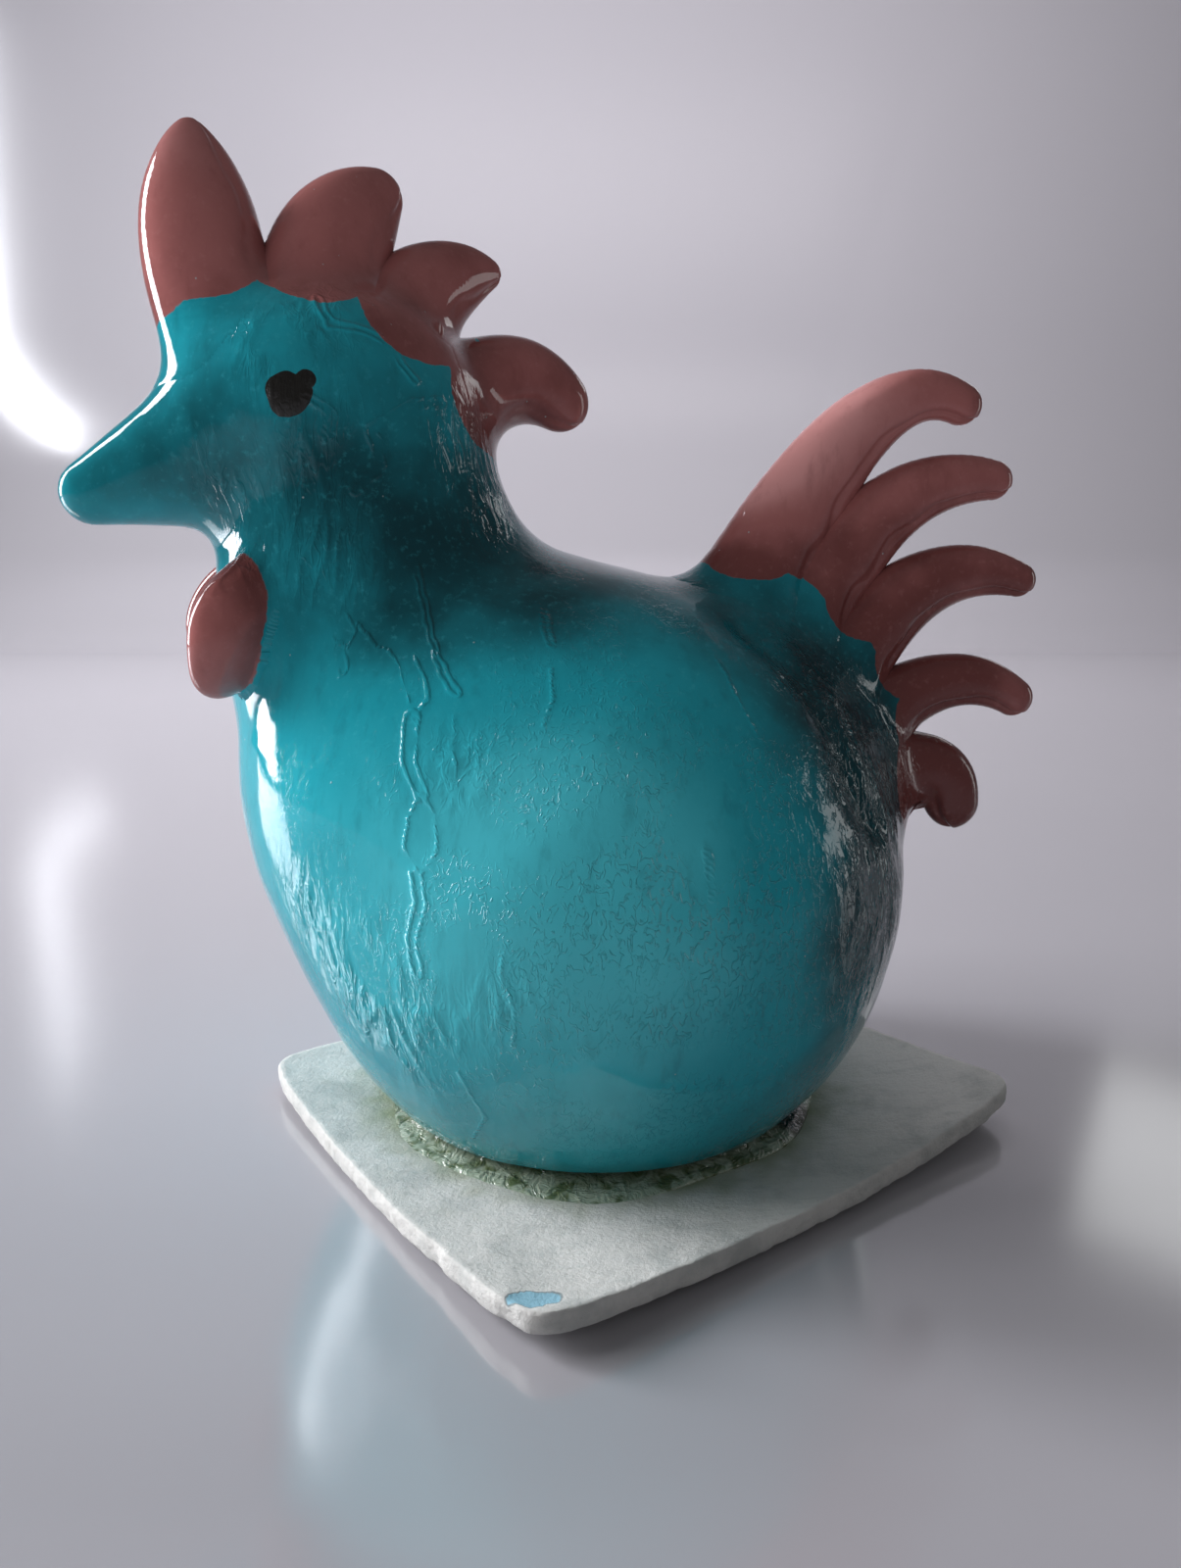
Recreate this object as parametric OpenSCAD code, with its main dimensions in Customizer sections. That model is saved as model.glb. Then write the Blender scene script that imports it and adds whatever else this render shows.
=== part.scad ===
// Clay hen figurine: a round body built over a light core, with a swept-up neck and head,
// four comb lobes, a pair of wattles and five curled tail feathers, glued to a small
// hand-rolled slab whose corners curl up.
// The beak points to -X and the tail to +X. The origin lies on the table, on the flat
// underside of the slab, right under the middle of the round body.

/* [Round body] */
// Length of the round body, beak side to tail side
globe_l = 73.6; // [66:0.2:82]
// Width of the round body
globe_w = 73.2; // [66:0.2:82]
// Height of the round body above its widest place
globe_rise = 36.1; // [33:0.1:40]
// How far the round body would reach below its widest place if its foot weren't pressed flat
globe_drop = 38; // [35:0.1:42]
// Diameter of the flat foot where the body is glued down
foot_d = 51; // [44:0.5:56]
// Thickness of the clay wall round the light core
clay_t = 4.6; // [3:0.1:7]
// Diameter of the breast bulge
breast_d = 55; // [48:0.5:60]
// How far the breast's middle lies in front of the body's middle
breast_out = 15; // [12:0.5:20]
// How far the breast's middle lies above the body's middle
breast_up = 11.5; // [8:0.5:16]

/* [Neck and head] */
// How far the head is turned towards the hen's left, in degrees
head_turn = 20; // [0:1:25]
// Diameter at the bottom of the neck
neck_d = 34.2; // [31:0.2:39]
// How far the neck leans out in front of the body's middle
neck_out = 25.6; // [22:0.2:29]
// Height of the neck's bottom above the body's middle
neck_up = 30.5; // [27:0.5:35]
// Diameter at the top of the neck
nape_d = 31.8; // [29:0.2:36]
// How far the top of the neck leans out in front of the body's middle
nape_out = 27.8; // [25:0.2:32]
// Height of the neck's top above the body's middle
nape_up = 49; // [46:0.5:53]
// Length of the head, forehead to back
head_l = 31.4; // [28:0.2:36]
// Width of the head
head_w = 30; // [26:0.2:34]
// Height of the head
head_h = 26.4; // [24:0.2:30]
// How far the head's middle lies in front of the body's middle
head_out = 31.4; // [29:0.2:35]
// Height of the head's middle above the body's middle
head_up = 54.4; // [52:0.2:59]
// Diameter of the beak at its root
beak_root_d = 17.6; // [15:0.2:21]
// Diameter of the beak's rounded tip
beak_tip_d = 7.4; // [5:0.2:10]
// Length of the beak from its root ball to its tip ball
beak_l = 13.4; // [11:0.2:18]
// How far the beak's tip drops below its root
beak_drop = 5; // [3:0.2:8]
// Diameter of a painted eye
eye_d = 4.8; // [4:0.1:7]
// How far the paint dab of an eye stands proud of the clay
eye_proud = 0.35; // [0.2:0.05:0.6]

/* [Comb and wattles] */
// Size of the comb's first lobe, from its root in the head to its tip
comb_l = 23; // [18:0.5:27]
// Height of the wattles' roots above the body's middle
wattle_up = 34.6; // [32:0.2:37]
// Length of a wattle
wattle_l = 11.4; // [9:0.2:14]
// Width of a wattle seen from the side
wattle_w = 9.8; // [8:0.2:12]
// Thickness of a wattle
wattle_t = 6.6; // [5:0.2:8]
// How far round the neck from its front each wattle sits, in degrees
wattle_angle = 34; // [24:1:42]

/* [Tail] */
// Reach of the longest tail feather from its root to its tip
feather_l = 32; // [26:0.5:38]
// Thickness of a feather as a share of its width
feather_round_share = 0.78; // [0.6:0.02:1]
// How far the ridge that carries the feathers stands out from the body
ridge_out = 2.8; // [1.5:0.1:5]
// Thickness of the ridge that carries the feathers
ridge_t = 10.4; // [8:0.2:13]

/* [Slab] */
// Length of the slab's long side
slab_l = 73; // [64:0.5:86]
// Length of the slab's short side
slab_w = 65; // [56:0.5:76]
// Thickness of the slab
slab_t = 2.4; // [1.8:0.1:4]
// How far the slab's front corner curls up off the table
curl_front = 2.4; // [0.6:0.1:4]
// How far the slab's right corner curls up off the table
curl_right = 3.4; // [0.6:0.1:4]
// How far the slab's left corner curls up off the table
curl_left = 1.8; // [0.6:0.1:4]
// How far the slab's back corner curls up off the table
curl_back = 1.6; // [0.6:0.1:4]
// Thickness of the glue under the hen's foot
glue_film = 0.4; // [0.2:0.1:1]
// How far the squeezed-out glue spreads beyond the hen's foot
glue_spread = 4; // [2.5:0.1:6]

/* [Hidden] */

// Colours of the paints, the bare clay, the glue and the core
teal = "#2a9da8";
pink = "#b5787c";
black = "#15130f";
bare_clay = "#c9cfc8";
glue_tone = "#77805c";
core_tone = "#c8b48c";

// The slab is turned under the hen, and its middle lies a little behind and beside her
slab_turn = 36.2;
slab_mid = [globe_l * 0.06, -globe_w * 0.055];
// The slab's underside is flat inside this share of its reach and curls up outside it
flat_share = 0.45;
curl_power = 1.3;
// Depth to which the slab sags before its underside is rubbed flat on the table
rub_depth = slab_t * 0.1;
// Rounding of the slab's broken edges, and how much its corners are drawn in
edge_soft = slab_t * 0.22;
corner_share = 0.03;
slab_cells = 14;

// Heights that stack up from the table
foot_z = slab_t + glue_film;
globe_z = foot_z + globe_drop * sqrt(1 - pow(foot_d / globe_l, 2));
globe_mid = [0, 0, globe_z];
globe_r = [globe_l / 2, globe_w / 2, globe_rise];

// Places on the hen are given by how far they lie out towards the beak and up from the body's middle
function place(out, up, side = 0) = globe_mid + [-out, side, up];
breast_mid = place(breast_out, breast_up);
neck_mid = place(neck_out, neck_up);
nape_mid = place(nape_out, nape_up);
head_mid = place(head_out, head_up);
head_r = [head_l, head_w, head_h] / 2;
beak_out = head_out + head_l * 0.34;
beak_up = head_up - head_h * 0.2;
beak_root = place(beak_out, beak_up);
beak_tip = place(beak_out + beak_l, beak_up - beak_drop);

// The ridge under the tail runs round the back of the body between two angles
ridge_from = 20;
ridge_to = 60;
ridge_r = globe_l / 2 + ridge_out - ridge_t / 2;

// Widths over which neighbouring forms of clay are smoothed into each other
breast_blend = breast_d * 0.12;
neck_blend = neck_d * 0.165;
head_blend = head_h * 0.175;
beak_blend = beak_root_d * 0.215;
ridge_blend = ridge_t * 0.77;
foot_blend = foot_d * 0.025;

// The light core follows the body inside the clay wall and is flat over the foot
core_gap = 0.25;
core_r = globe_l / 2 - clay_t;
core_floor = foot_z + clay_t;
core_steps = 12;
core_sides = 36;

// The skin's grid runs from the foot pole along the hen's axis to the crown pole
rings_body = 20;
rings_neck = 13;
rings_head = 16;
half_columns = 23;
// Share by which the columns crowd towards the breast line and the back line
crowd_share = 0.45;
lean = 80;
hen_axis = head_mid - globe_mid;
axis_l = norm(hen_axis);
axis_u = hen_axis / axis_l;
axis_n = [axis_u[2], 0, -axis_u[0]];
reach = globe_l;
search_steps = 13;
// Heights along the axis between which the neck twists, so that the body stays straight
turn_start = globe_rise * 0.88;
turn_end = globe_rise * 1.36;

// Where the clay pieces part: bowls at the body's middle, neck above the breast, beak at its root
neck_cut = globe_rise * 1.07;
beak_cut = head_l * 0.52;
ridge_cut = core_r + core_gap + clay_t * 0.1;
socket_floor = clay_t * 0.3;
ridge_dir = 44;
cutter = 3 * globe_l;

// Roots of the comb lobes, out from the head's middle as shares of its half length and height
lobe_root_shares = [[-0.66, 0.50], [-0.06, 0.52], [0.46, 0.38], [0.86, -0.1]];
// Bend points, tips and half widths of the comb lobes from their roots, as shares of comb_l
lobe_bend_shares = [[-0.07, 0.50], [0.08, 0.47], [0.18, 0.42], [0.43, 0.4]];
lobe_tip_shares = [[-0.06, 0.90], [0.42, 0.68], [0.59, 0.42], [0.75, -0.01]];
lobe_width_shares = [[0.265, 0.385, 0.06], [0.26, 0.38, 0.09], [0.245, 0.33, 0.055],
    [0.26, 0.27, 0.13]];
// Thickness of a lobe against its width, at the root and at the tip
lobe_round_shares = [1.15, 0.6];

// Root angles of the feathers round the body, and the depth of their roots in the clay
feather_angles = [61, 48.5, 37, 27.5, 18.5];
feather_root_r = core_r + core_gap + clay_t * 0.35;
// Bend points and tips of the feathers from the body's surface, as shares of feather_l
feather_bend_shares = [[0.42, 0.97], [0.24, 0.70], [0.23, 0.59], [0.31, 0.35], [0.31, 0.15]];
feather_tip_shares = [[0.785, 0.67], [0.73, 0.575], [0.69, 0.375], [0.605, 0.08], [0.27, -0.26]];
feather_width_shares = [[0.235, 0.11, 0.08], [0.20, 0.145, 0.07], [0.19, 0.15, 0.062],
    [0.16, 0.125, 0.072], [0.155, 0.145, 0.088]];

// A wattle hangs from the throat: how far its root, bend and tip hang down, as shares of its
// length, how far they stand out, as shares of the neck's radius, and its half widths
wattle_drop_shares = [0, 0.48, 1];
wattle_out_shares = [0.98, 1.38, 1.1];
wattle_width_shares = [0.38, 0.62, 0.37];

// The eye's place out and up from the head's middle, and how deep its dab is bedded
eye_out = head_l * 0.15;
eye_up = -head_h * 0.05;
eye_sink = eye_d * 0.06;

// The squeezed-out glue: how high it climbs the body, and its wavy rim's mean, slow waves and
// quick waves as shares of the spread
glue_climb = glue_film * 4;
glue_wave_shares = [0.62, 0.22, 0.16];
glue_wave_counts = [3, 7];
glue_wave_start = 40;
glue_sides = 42;
glue_rings = 4;

// Steps along and round a lobe, feather or wattle, and how long its round tip is for its width
horn_steps = 13;
horn_sides = 16;
tip_round_share = 1.3;

function mix(a, b, t) = a + (b - a) * t;
function bend(a, b, c, t) = mix(mix(a, b, t), mix(b, c, t), t);
function clip(x, low, high) = min(max(x, low), high);
function smooth_step(x) = let (t = clip(x, 0, 1)) t * t * (3 - 2 * t);
function flip(p) = [p[0], -p[1], p[2]];

// Turns p about an upright line through the neck: not at all on the body, fully above turn_end
function turned(p) =
    let (
        along = (p - globe_mid) * axis_u,
        a = head_turn * smooth_step((along - turn_start) / (turn_end - turn_start)),
        x = p[0] + neck_out,
        y = p[1]
    )
    [x * cos(a) - y * sin(a) - neck_out, x * sin(a) + y * cos(a), p[2]];

// Two distances joined with a smooth fillet of width k
function smooth_min(a, b, k) = let (h = max(k - abs(a - b), 0) / k) min(a, b) - h * h * k / 4;

// Distance from p to an egg with the half sizes r round c, whose lower end reaches down by drop
function egg(p, c, r, drop) =
    let (
        rz = p[2] < c[2] ? drop : r[2],
        q = [(p[0] - c[0]) / r[0], (p[1] - c[1]) / r[1], (p[2] - c[2]) / rz],
        n = norm(q),
        g = norm([q[0] / r[0], q[1] / r[1], q[2] / rz])
    )
    n * (n - 1) / g;

// Distance from p to a cone with ball ends: radius ra round a, radius rb round b
function cone(p, a, ra, b, rb) =
    let (
        l = norm(b - a),
        h = (p - a) * (b - a) / l,
        q = sqrt(max((p - a) * (p - a) - h * h, 0)),
        s = (ra - rb) / l,
        k = clip((h - q * s / sqrt(1 - s * s)) / l, 0, 1)
    )
    norm([q, h - k * l]) - mix(ra, rb, k);

// Distance from p to the ridge, a round bar bent round the back of the body
function ridge(p) =
    let (
        q = p - globe_mid,
        a = clip(atan2(q[2], q[0]), ridge_from, ridge_to)
    )
    norm([q[0] - ridge_r * cos(a), q[1], q[2] - ridge_r * sin(a)]) - ridge_t / 2;

// Distance from p to the whole modelled clay of the hen, without lobes, wattles and feathers
function hen(p) =
    let (
        body = smooth_min(egg(p, globe_mid, globe_r, globe_drop),
            cone(p, breast_mid, breast_d / 2, neck_mid, neck_d / 2), breast_blend),
        neck = smooth_min(body, cone(p, neck_mid, neck_d / 2, nape_mid, nape_d / 2), neck_blend),
        head = smooth_min(neck, egg(p, head_mid, head_r, head_r[2]), head_blend),
        beaked = smooth_min(head, cone(p, beak_root, beak_root_d / 2, beak_tip, beak_tip_d / 2), beak_blend),
        ridged = smooth_min(beaked, ridge(p), ridge_blend)
    )
    -smooth_min(-ridged, p[2] - foot_z, foot_blend);

// How far along the ray from o towards d the clay ends, by halving the span between low and high
function skin_at(o, d, low, high, steps) =
    let (m = (low + high) / 2)
    steps == 0 ? m
    : hen(o + m * d) < 0 ? skin_at(o, d, m, high, steps - 1)
    : skin_at(o, d, low, m, steps - 1);

// Start along the axis and angle off it for each ring of the skin
ring_rows = [
    for (i = [1:rings_body]) [0, mix(180, lean, i / rings_body)],
    for (i = [1:rings_neck]) [axis_l * i / rings_neck, lean],
    for (i = [1:rings_head - 1]) [axis_l, mix(lean, 0, i / rings_head)]
];

function column_turn(t) = 180 * mix(t, (1 - cos(180 * t)) / 2, crowd_share);

function skin_point(start, off, turn) =
    let (
        o = globe_mid + start * axis_u,
        d = cos(off) * axis_u + sin(off) * (cos(turn) * axis_n - sin(turn) * [0, 1, 0])
    )
    o + skin_at(o, d, 0, reach, search_steps) * d;

// Triangles between rings of points, closed at both poles; the poles are the last two points
function tube_faces(rings, sides) = [
    for (i = [0:rings - 2], j = [0:sides - 1])
        let (a = i * sides + j, b = i * sides + (j + 1) % sides)
        each [[a, b, b + sides], [a, b + sides, a + sides]],
    for (j = [0:sides - 1])
        let (k = (j + 1) % sides, last = (rings - 1) * sides)
        each [[rings * sides, k, j], [rings * sides + 1, last + j, last + k]]
];

// The hen's whole clay skin as one closed form
module hen_form() {
    sides = 2 * half_columns;
    halves = [for (row = ring_rows)
        [for (j = [0:half_columns]) skin_point(row[0], row[1], column_turn(j / half_columns))]];
    points = [
        for (half = halves, j = [0:sides - 1])
            turned(j <= half_columns ? half[j] : flip(half[sides - j])),
        turned(skin_point(0, 180, 0)),
        turned(skin_point(axis_l, 0, 0))
    ];
    polyhedron(points, tube_faces(len(ring_rows), sides), convexity = 6);
}

// A horn of clay: oval sections carried along a bent middle line and closed by a round tip.
// root, knee and tip are points and widths the half widths there; rounds are the thickness shares
// of the root and of the tip.
module horn(root, knee, tip, widths, rounds) {
    l = norm(tip - root);
    tip_share = min(tip_round_share * widths[2] / l, 1);
    rows = [for (i = [0:horn_steps - 1]) sin(90 * i / horn_steps)];
    points = [
        for (s = rows)
            let (
                mid = bend(root, knee, tip, s),
                run = mix(knee - root, tip - knee, s),
                dir = run / norm(run),
                q = clip((s - 1 + tip_share) / tip_share, 0, 1),
                w = bend(widths[0], widths[1], widths[2], s) * sqrt(1 - q * q),
                h = w * mix(rounds[0], rounds[1], s)
            )
            for (j = [0:horn_sides - 1])
                let (a = 360 * j / horn_sides)
                turned(mid + w * cos(a) * [-dir[2], 0, dir[0]] + h * sin(a) * [0, 1, 0]),
        turned(root),
        turned(tip)
    ];
    polyhedron(points, tube_faces(horn_steps, horn_sides), convexity = 4);
}

// Joins what it holds into one mesh and keeps every size
module one_mesh() {
    resize([0, 0, 0]) children();
}

// Everything that lies past a plane square to dir, at the distance away from c
module past_plane(c, dir, away) {
    translate(c)
        rotate([0, 90 - dir, 0])
            translate([-cutter / 2, -cutter / 2, away])
                cube(cutter);
}

// The slab's underside height at u and v, which run from -1 to 1 across it
function slab_lift(u, v) =
    let (
        reach_share = sqrt((u * u + v * v) / 2),
        q = clip((reach_share - flat_share) / (1 - flat_share), 0, 1),
        near = mix(curl_front, curl_right, (u + 1) / 2),
        far = mix(curl_left, curl_back, (u + 1) / 2),
        corner = mix(near, far, (v + 1) / 2)
    )
    (corner + rub_depth) * pow(q, curl_power) - rub_depth;

function slab_point(u, v, up, inset) =
    let (pull = 1 - corner_share * u * u * v * v)
    [u * pull * (slab_l / 2 - inset), v * pull * (slab_w / 2 - inset), slab_lift(u, v) + up];

// The dished slab: a grid above, a grid below and a rounded edge between them
module slab_form() {
    n = slab_cells;
    row = n + 1;
    cells = row * row;
    steps = [for (i = [0:n]) 2 * i / n - 1];
    border = [
        for (i = [0:n - 1]) [i, 0],
        for (i = [0:n - 1]) [n, i],
        for (i = [0:n - 1]) [n - i, n],
        for (i = [0:n - 1]) [0, n - i]
    ];
    points = [
        for (v = steps, u = steps) slab_point(u, v, slab_t, edge_soft),
        for (v = steps, u = steps) slab_point(u, v, 0, edge_soft),
        for (b = border) slab_point(steps[b[0]], steps[b[1]], slab_t / 2, 0)
    ];
    faces = [
        for (j = [0:n - 1], i = [0:n - 1])
            let (a = j * row + i, b = a + cells)
            each [[a, a + row, a + row + 1], [a, a + row + 1, a + 1],
                [b, b + row + 1, b + row], [b, b + 1, b + row + 1]],
        for (k = [0:4 * n - 1])
            let (
                k2 = (k + 1) % (4 * n),
                top = border[k][1] * row + border[k][0],
                top2 = border[k2][1] * row + border[k2][0],
                side = 2 * cells + k,
                side2 = 2 * cells + k2
            )
            each [[top, top2, side2], [top, side2, side],
                [side, side2, top2 + cells], [side, top2 + cells, top + cells]]
    ];
    translate([slab_mid[0], slab_mid[1], 0])
        rotate(slab_turn)
            polyhedron(points, faces, convexity = 4);
}

// The core's space, widened by the given gap
module core_space(gap) {
    arc = [for (i = [0:core_steps])
        let (
            a = 180 * i / core_steps - 90,
            end = (a < 0 ? globe_drop : globe_rise) - clay_t + gap
        )
        [(core_r + gap) * cos(a), end * sin(a)]];
    low = core_floor - gap - globe_z;
    translate(globe_mid)
        rotate_extrude($fn = core_sides)
            intersection() {
                polygon(arc);
                translate([0, low])
                    square([core_r + gap, globe_drop + globe_rise]);
            }
}

module lobe_horn(i) {
    root = head_mid + [lobe_root_shares[i][0] * head_r[0], 0, lobe_root_shares[i][1] * head_r[2]];
    knee = root + comb_l * [lobe_bend_shares[i][0], 0, lobe_bend_shares[i][1]];
    tip = root + comb_l * [lobe_tip_shares[i][0], 0, lobe_tip_shares[i][1]];
    horn(root, knee, tip, comb_l * lobe_width_shares[i], lobe_round_shares);
}

// A place beyond the body on the ray at the given angle, then on by shares of the feather's length
function past_body(angle, shares) =
    globe_mid + [globe_r[0] * cos(angle), 0, globe_r[2] * sin(angle)]
    + feather_l * [shares[0], 0, shares[1]];

module feather_horn(i) {
    angle = feather_angles[i];
    root = globe_mid + feather_root_r * [cos(angle), 0, sin(angle)];
    horn(root, past_body(angle, feather_bend_shares[i]), past_body(angle, feather_tip_shares[i]),
        feather_l * feather_width_shares[i], [1, 1] * feather_round_share);
}

// A feather down to the floor of its socket, which leaves some clay over the core
module feather_root(i) {
    difference() {
        feather_horn(i);
        core_space(core_gap + socket_floor);
    }
}

// The wattle on one side: -1 is the hen's left, 1 her right
function wattle_place(i, side) =
    let (a = side * wattle_angle, out = wattle_out_shares[i] * neck_d / 2)
    place(neck_out + out * cos(a), wattle_up - wattle_drop_shares[i] * wattle_l, out * sin(a));

module wattle_horn(side) {
    horn(wattle_place(0, side), wattle_place(1, side), wattle_place(2, side),
        wattle_w * wattle_width_shares, [1, 1] * wattle_t / wattle_w);
}

// The dab of paint for one eye, bedded in the side of the head
module eye_dab(side) {
    spot = head_mid + [-eye_out, 0, eye_up];
    deep = skin_at(spot, [0, side, 0], 0, head_w, search_steps);
    translate(turned(spot + [0, side * (deep - eye_sink), 0]))
        rotate(head_turn)
            scale([eye_d / 2, eye_proud + eye_sink, eye_d / 2])
                sphere(1, $fn = 18);
}

// How far the slab reaches from the hen's upright line in the direction a
function slab_reach(a) =
    let (
        along = [cos(slab_turn), sin(slab_turn)],
        across = [-along[1], along[0]],
        dir = [cos(a), sin(a)],
        du = dir * along,
        dv = dir * across
    )
    min((slab_l / 2 + sign(du) * (slab_mid * along)) / abs(du),
        (slab_w / 2 + sign(dv) * (slab_mid * across)) / abs(dv));

// The glue under the foot and its squeezed-out rim, before the slab and the hen are cut out
module glue_form() {
    rim = [for (j = [0:glue_sides - 1])
        let (
            a = 360 * j / glue_sides,
            slow = sin(glue_wave_counts[0] * a + glue_wave_start),
            quick = sin(glue_wave_counts[1] * a),
            wave = glue_wave_shares * [1, slow, quick]
        )
        min(foot_d / 2 + glue_spread * wave, slab_reach(a) - slab_t / 2)];
    points = [
        for (i = [1:glue_rings], j = [0:glue_sides - 1])
            let (
                a = 360 * j / glue_sides,
                t = i / glue_rings,
                r = mix(foot_d / 2, rim[j], t),
                z = foot_z + glue_climb * (1 - t) * (1 - t) - slab_t * 0.3 * t
            )
            [r * cos(a), r * sin(a), z],
        for (j = [0:glue_sides - 1])
            let (a = 360 * j / glue_sides)
            [rim[j] * cos(a), rim[j] * sin(a), slab_t / 2],
        [0, 0, foot_z + glue_climb],
        [0, 0, slab_t / 2]
    ];
    polyhedron(points, tube_faces(glue_rings + 1, glue_sides), convexity = 6);
}

module head_side() {
    past_plane(globe_mid, atan2(axis_u[2], axis_u[0]), neck_cut);
}

module beak_side() {
    translate([-neck_out, 0, 0])
        rotate(head_turn)
            translate([neck_out, 0, 0])
                past_plane(head_mid, 180, beak_cut);
}

module tail_side() {
    past_plane(globe_mid, ridge_dir, ridge_cut);
}

module upper_side() {
    past_plane(globe_mid, 90, 0);
}

module base_slab() {
    color(bare_clay)
        difference() {
            slab_form();
            translate([-cutter / 2, -cutter / 2, -cutter])
                cube(cutter);
        }
}

module glue_bead() {
    color(glue_tone) one_mesh() difference() {
        glue_form();
        slab_form();
        hen_form();
    }
}

module body_core() {
    color(core_tone) core_space(0);
}

module lower_bowl() {
    color(teal) one_mesh() difference() {
        hen_form();
        upper_side();
        core_space(core_gap);
        slab_form();
    }
}

module upper_bowl() {
    color(teal) one_mesh() difference() {
        intersection() {
            hen_form();
            upper_side();
        }
        head_side();
        tail_side();
        core_space(core_gap);
        for (i = [0:4]) feather_root(i);
    }
}

module tail_ridge() {
    color(teal) one_mesh() difference() {
        intersection() {
            hen_form();
            tail_side();
        }
        head_side();
        for (i = [0:4]) feather_root(i);
    }
}

module neck_head() {
    color(teal) one_mesh() difference() {
        intersection() {
            hen_form();
            head_side();
        }
        beak_side();
        for (i = [0:3]) lobe_horn(i);
        for (side = [-1, 1]) {
            wattle_horn(side);
            eye_dab(side);
        }
    }
}

module beak() {
    color(teal) one_mesh() intersection() {
        hen_form();
        head_side();
        beak_side();
    }
}

// Each lobe keeps its whole root, and the next one is pressed against it
module comb_lobe(i) {
    color(pink) one_mesh() difference() {
        lobe_horn(i);
        for (k = [0:1:i - 1]) lobe_horn(k);
    }
}

module tail_feather(i) {
    color(pink) one_mesh() difference() {
        feather_root(i);
        for (k = [0:1:i - 1]) feather_horn(k);
    }
}

module wattle(side) {
    color(pink) one_mesh() wattle_horn(side);
}

module eye(side) {
    color(black) one_mesh() eye_dab(side);
}

base_slab();
glue_bead();
body_core();
lower_bowl();
upper_bowl();
tail_ridge();
neck_head();
beak();
comb_lobe(0);  // comb_lobe_1
comb_lobe(1);  // comb_lobe_2
comb_lobe(2);  // comb_lobe_3
comb_lobe(3);  // comb_lobe_4
wattle(-1);  // wattle_left
wattle(1);  // wattle_right
eye(-1);  // eye_left
eye(1);  // eye_right
tail_feather(0);  // tail_feather_1
tail_feather(1);  // tail_feather_2
tail_feather(2);  // tail_feather_3
tail_feather(3);  // tail_feather_4
tail_feather(4);  // tail_feather_5
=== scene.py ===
"""Hand-made clay hen on a rough slab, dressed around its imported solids."""
import math

import bpy
import numpy as np
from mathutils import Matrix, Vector


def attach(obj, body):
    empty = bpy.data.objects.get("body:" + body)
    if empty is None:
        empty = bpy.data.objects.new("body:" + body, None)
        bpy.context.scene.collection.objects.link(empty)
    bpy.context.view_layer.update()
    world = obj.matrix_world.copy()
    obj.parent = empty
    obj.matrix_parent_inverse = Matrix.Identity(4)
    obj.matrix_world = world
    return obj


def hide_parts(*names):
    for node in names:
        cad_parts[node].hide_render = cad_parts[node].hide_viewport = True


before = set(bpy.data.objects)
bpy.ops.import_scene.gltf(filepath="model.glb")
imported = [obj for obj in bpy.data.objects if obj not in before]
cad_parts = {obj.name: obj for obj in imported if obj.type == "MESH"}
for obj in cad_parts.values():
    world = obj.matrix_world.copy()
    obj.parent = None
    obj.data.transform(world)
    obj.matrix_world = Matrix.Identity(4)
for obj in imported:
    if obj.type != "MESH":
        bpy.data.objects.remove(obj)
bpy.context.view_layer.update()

MM = 0.001

# ---------------------------------------------------------------- camera
# The photograph was taken by hand from close by, level with the hen's eye and a little down.
# The whole figurine stands in an upright frame of 1205 by 1600 pixels.
camera_at = (-0.8, -129.9, 68.0)
camera_dip = 12.0
focal_px = 1110.0
frame_px = (1205, 1600)

camera_data = bpy.data.cameras.new("camera")
camera_data.sensor_fit = "AUTO"
camera_data.sensor_width = 36.0
camera_data.lens = camera_data.sensor_width * focal_px / max(frame_px)
camera_data.clip_start = 2 * MM
camera_data.clip_end = 20.0
camera = bpy.data.objects.new("camera", camera_data)
bpy.context.scene.collection.objects.link(camera)
camera.location = [c * MM for c in camera_at]
camera.rotation_euler = (math.radians(90 - camera_dip), 0, 0)
bpy.context.scene.camera = camera


# ---------------------------------------------------------------- studio
# A plain pale laminate sheet that runs under the slab and up behind it, polished so that it
# mirrors the window into the hen's breast. The light is soft, from big panels: a tall window on
# her beak side, two weak ones on her tail side, and others that nothing mirrors.
def linear(code):
    """sRGB hex code to a linear colour with alpha 1."""
    parts = (int(code[i:i + 2], 16) / 255 for i in (1, 3, 5))
    return *(c / 12.92 if c <= 0.04045 else ((c + 0.055) / 1.055) ** 2.4 for c in parts), 1.0


def add_node(tree, kind, inputs=None, **settings):
    """Adds a node: settings are its own, inputs maps a socket to a value, or to an output or a
    node to link."""
    node = tree.nodes.new(kind)
    for name, value in settings.items():
        setattr(node, name, value)
    for socket, value in (inputs or {}).items():
        if isinstance(value, bpy.types.Node):
            value = next(result for result in value.outputs if result.enabled)
        if isinstance(value, bpy.types.NodeSocket):
            tree.links.new(value, node.inputs[socket])
        else:
            node.inputs[socket].default_value = value
    return node


def new_material(name):
    """An empty node material and its tree."""
    material = bpy.data.materials.new(name)
    material.use_nodes = True
    material.node_tree.nodes.clear()
    return material, material.node_tree


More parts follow.
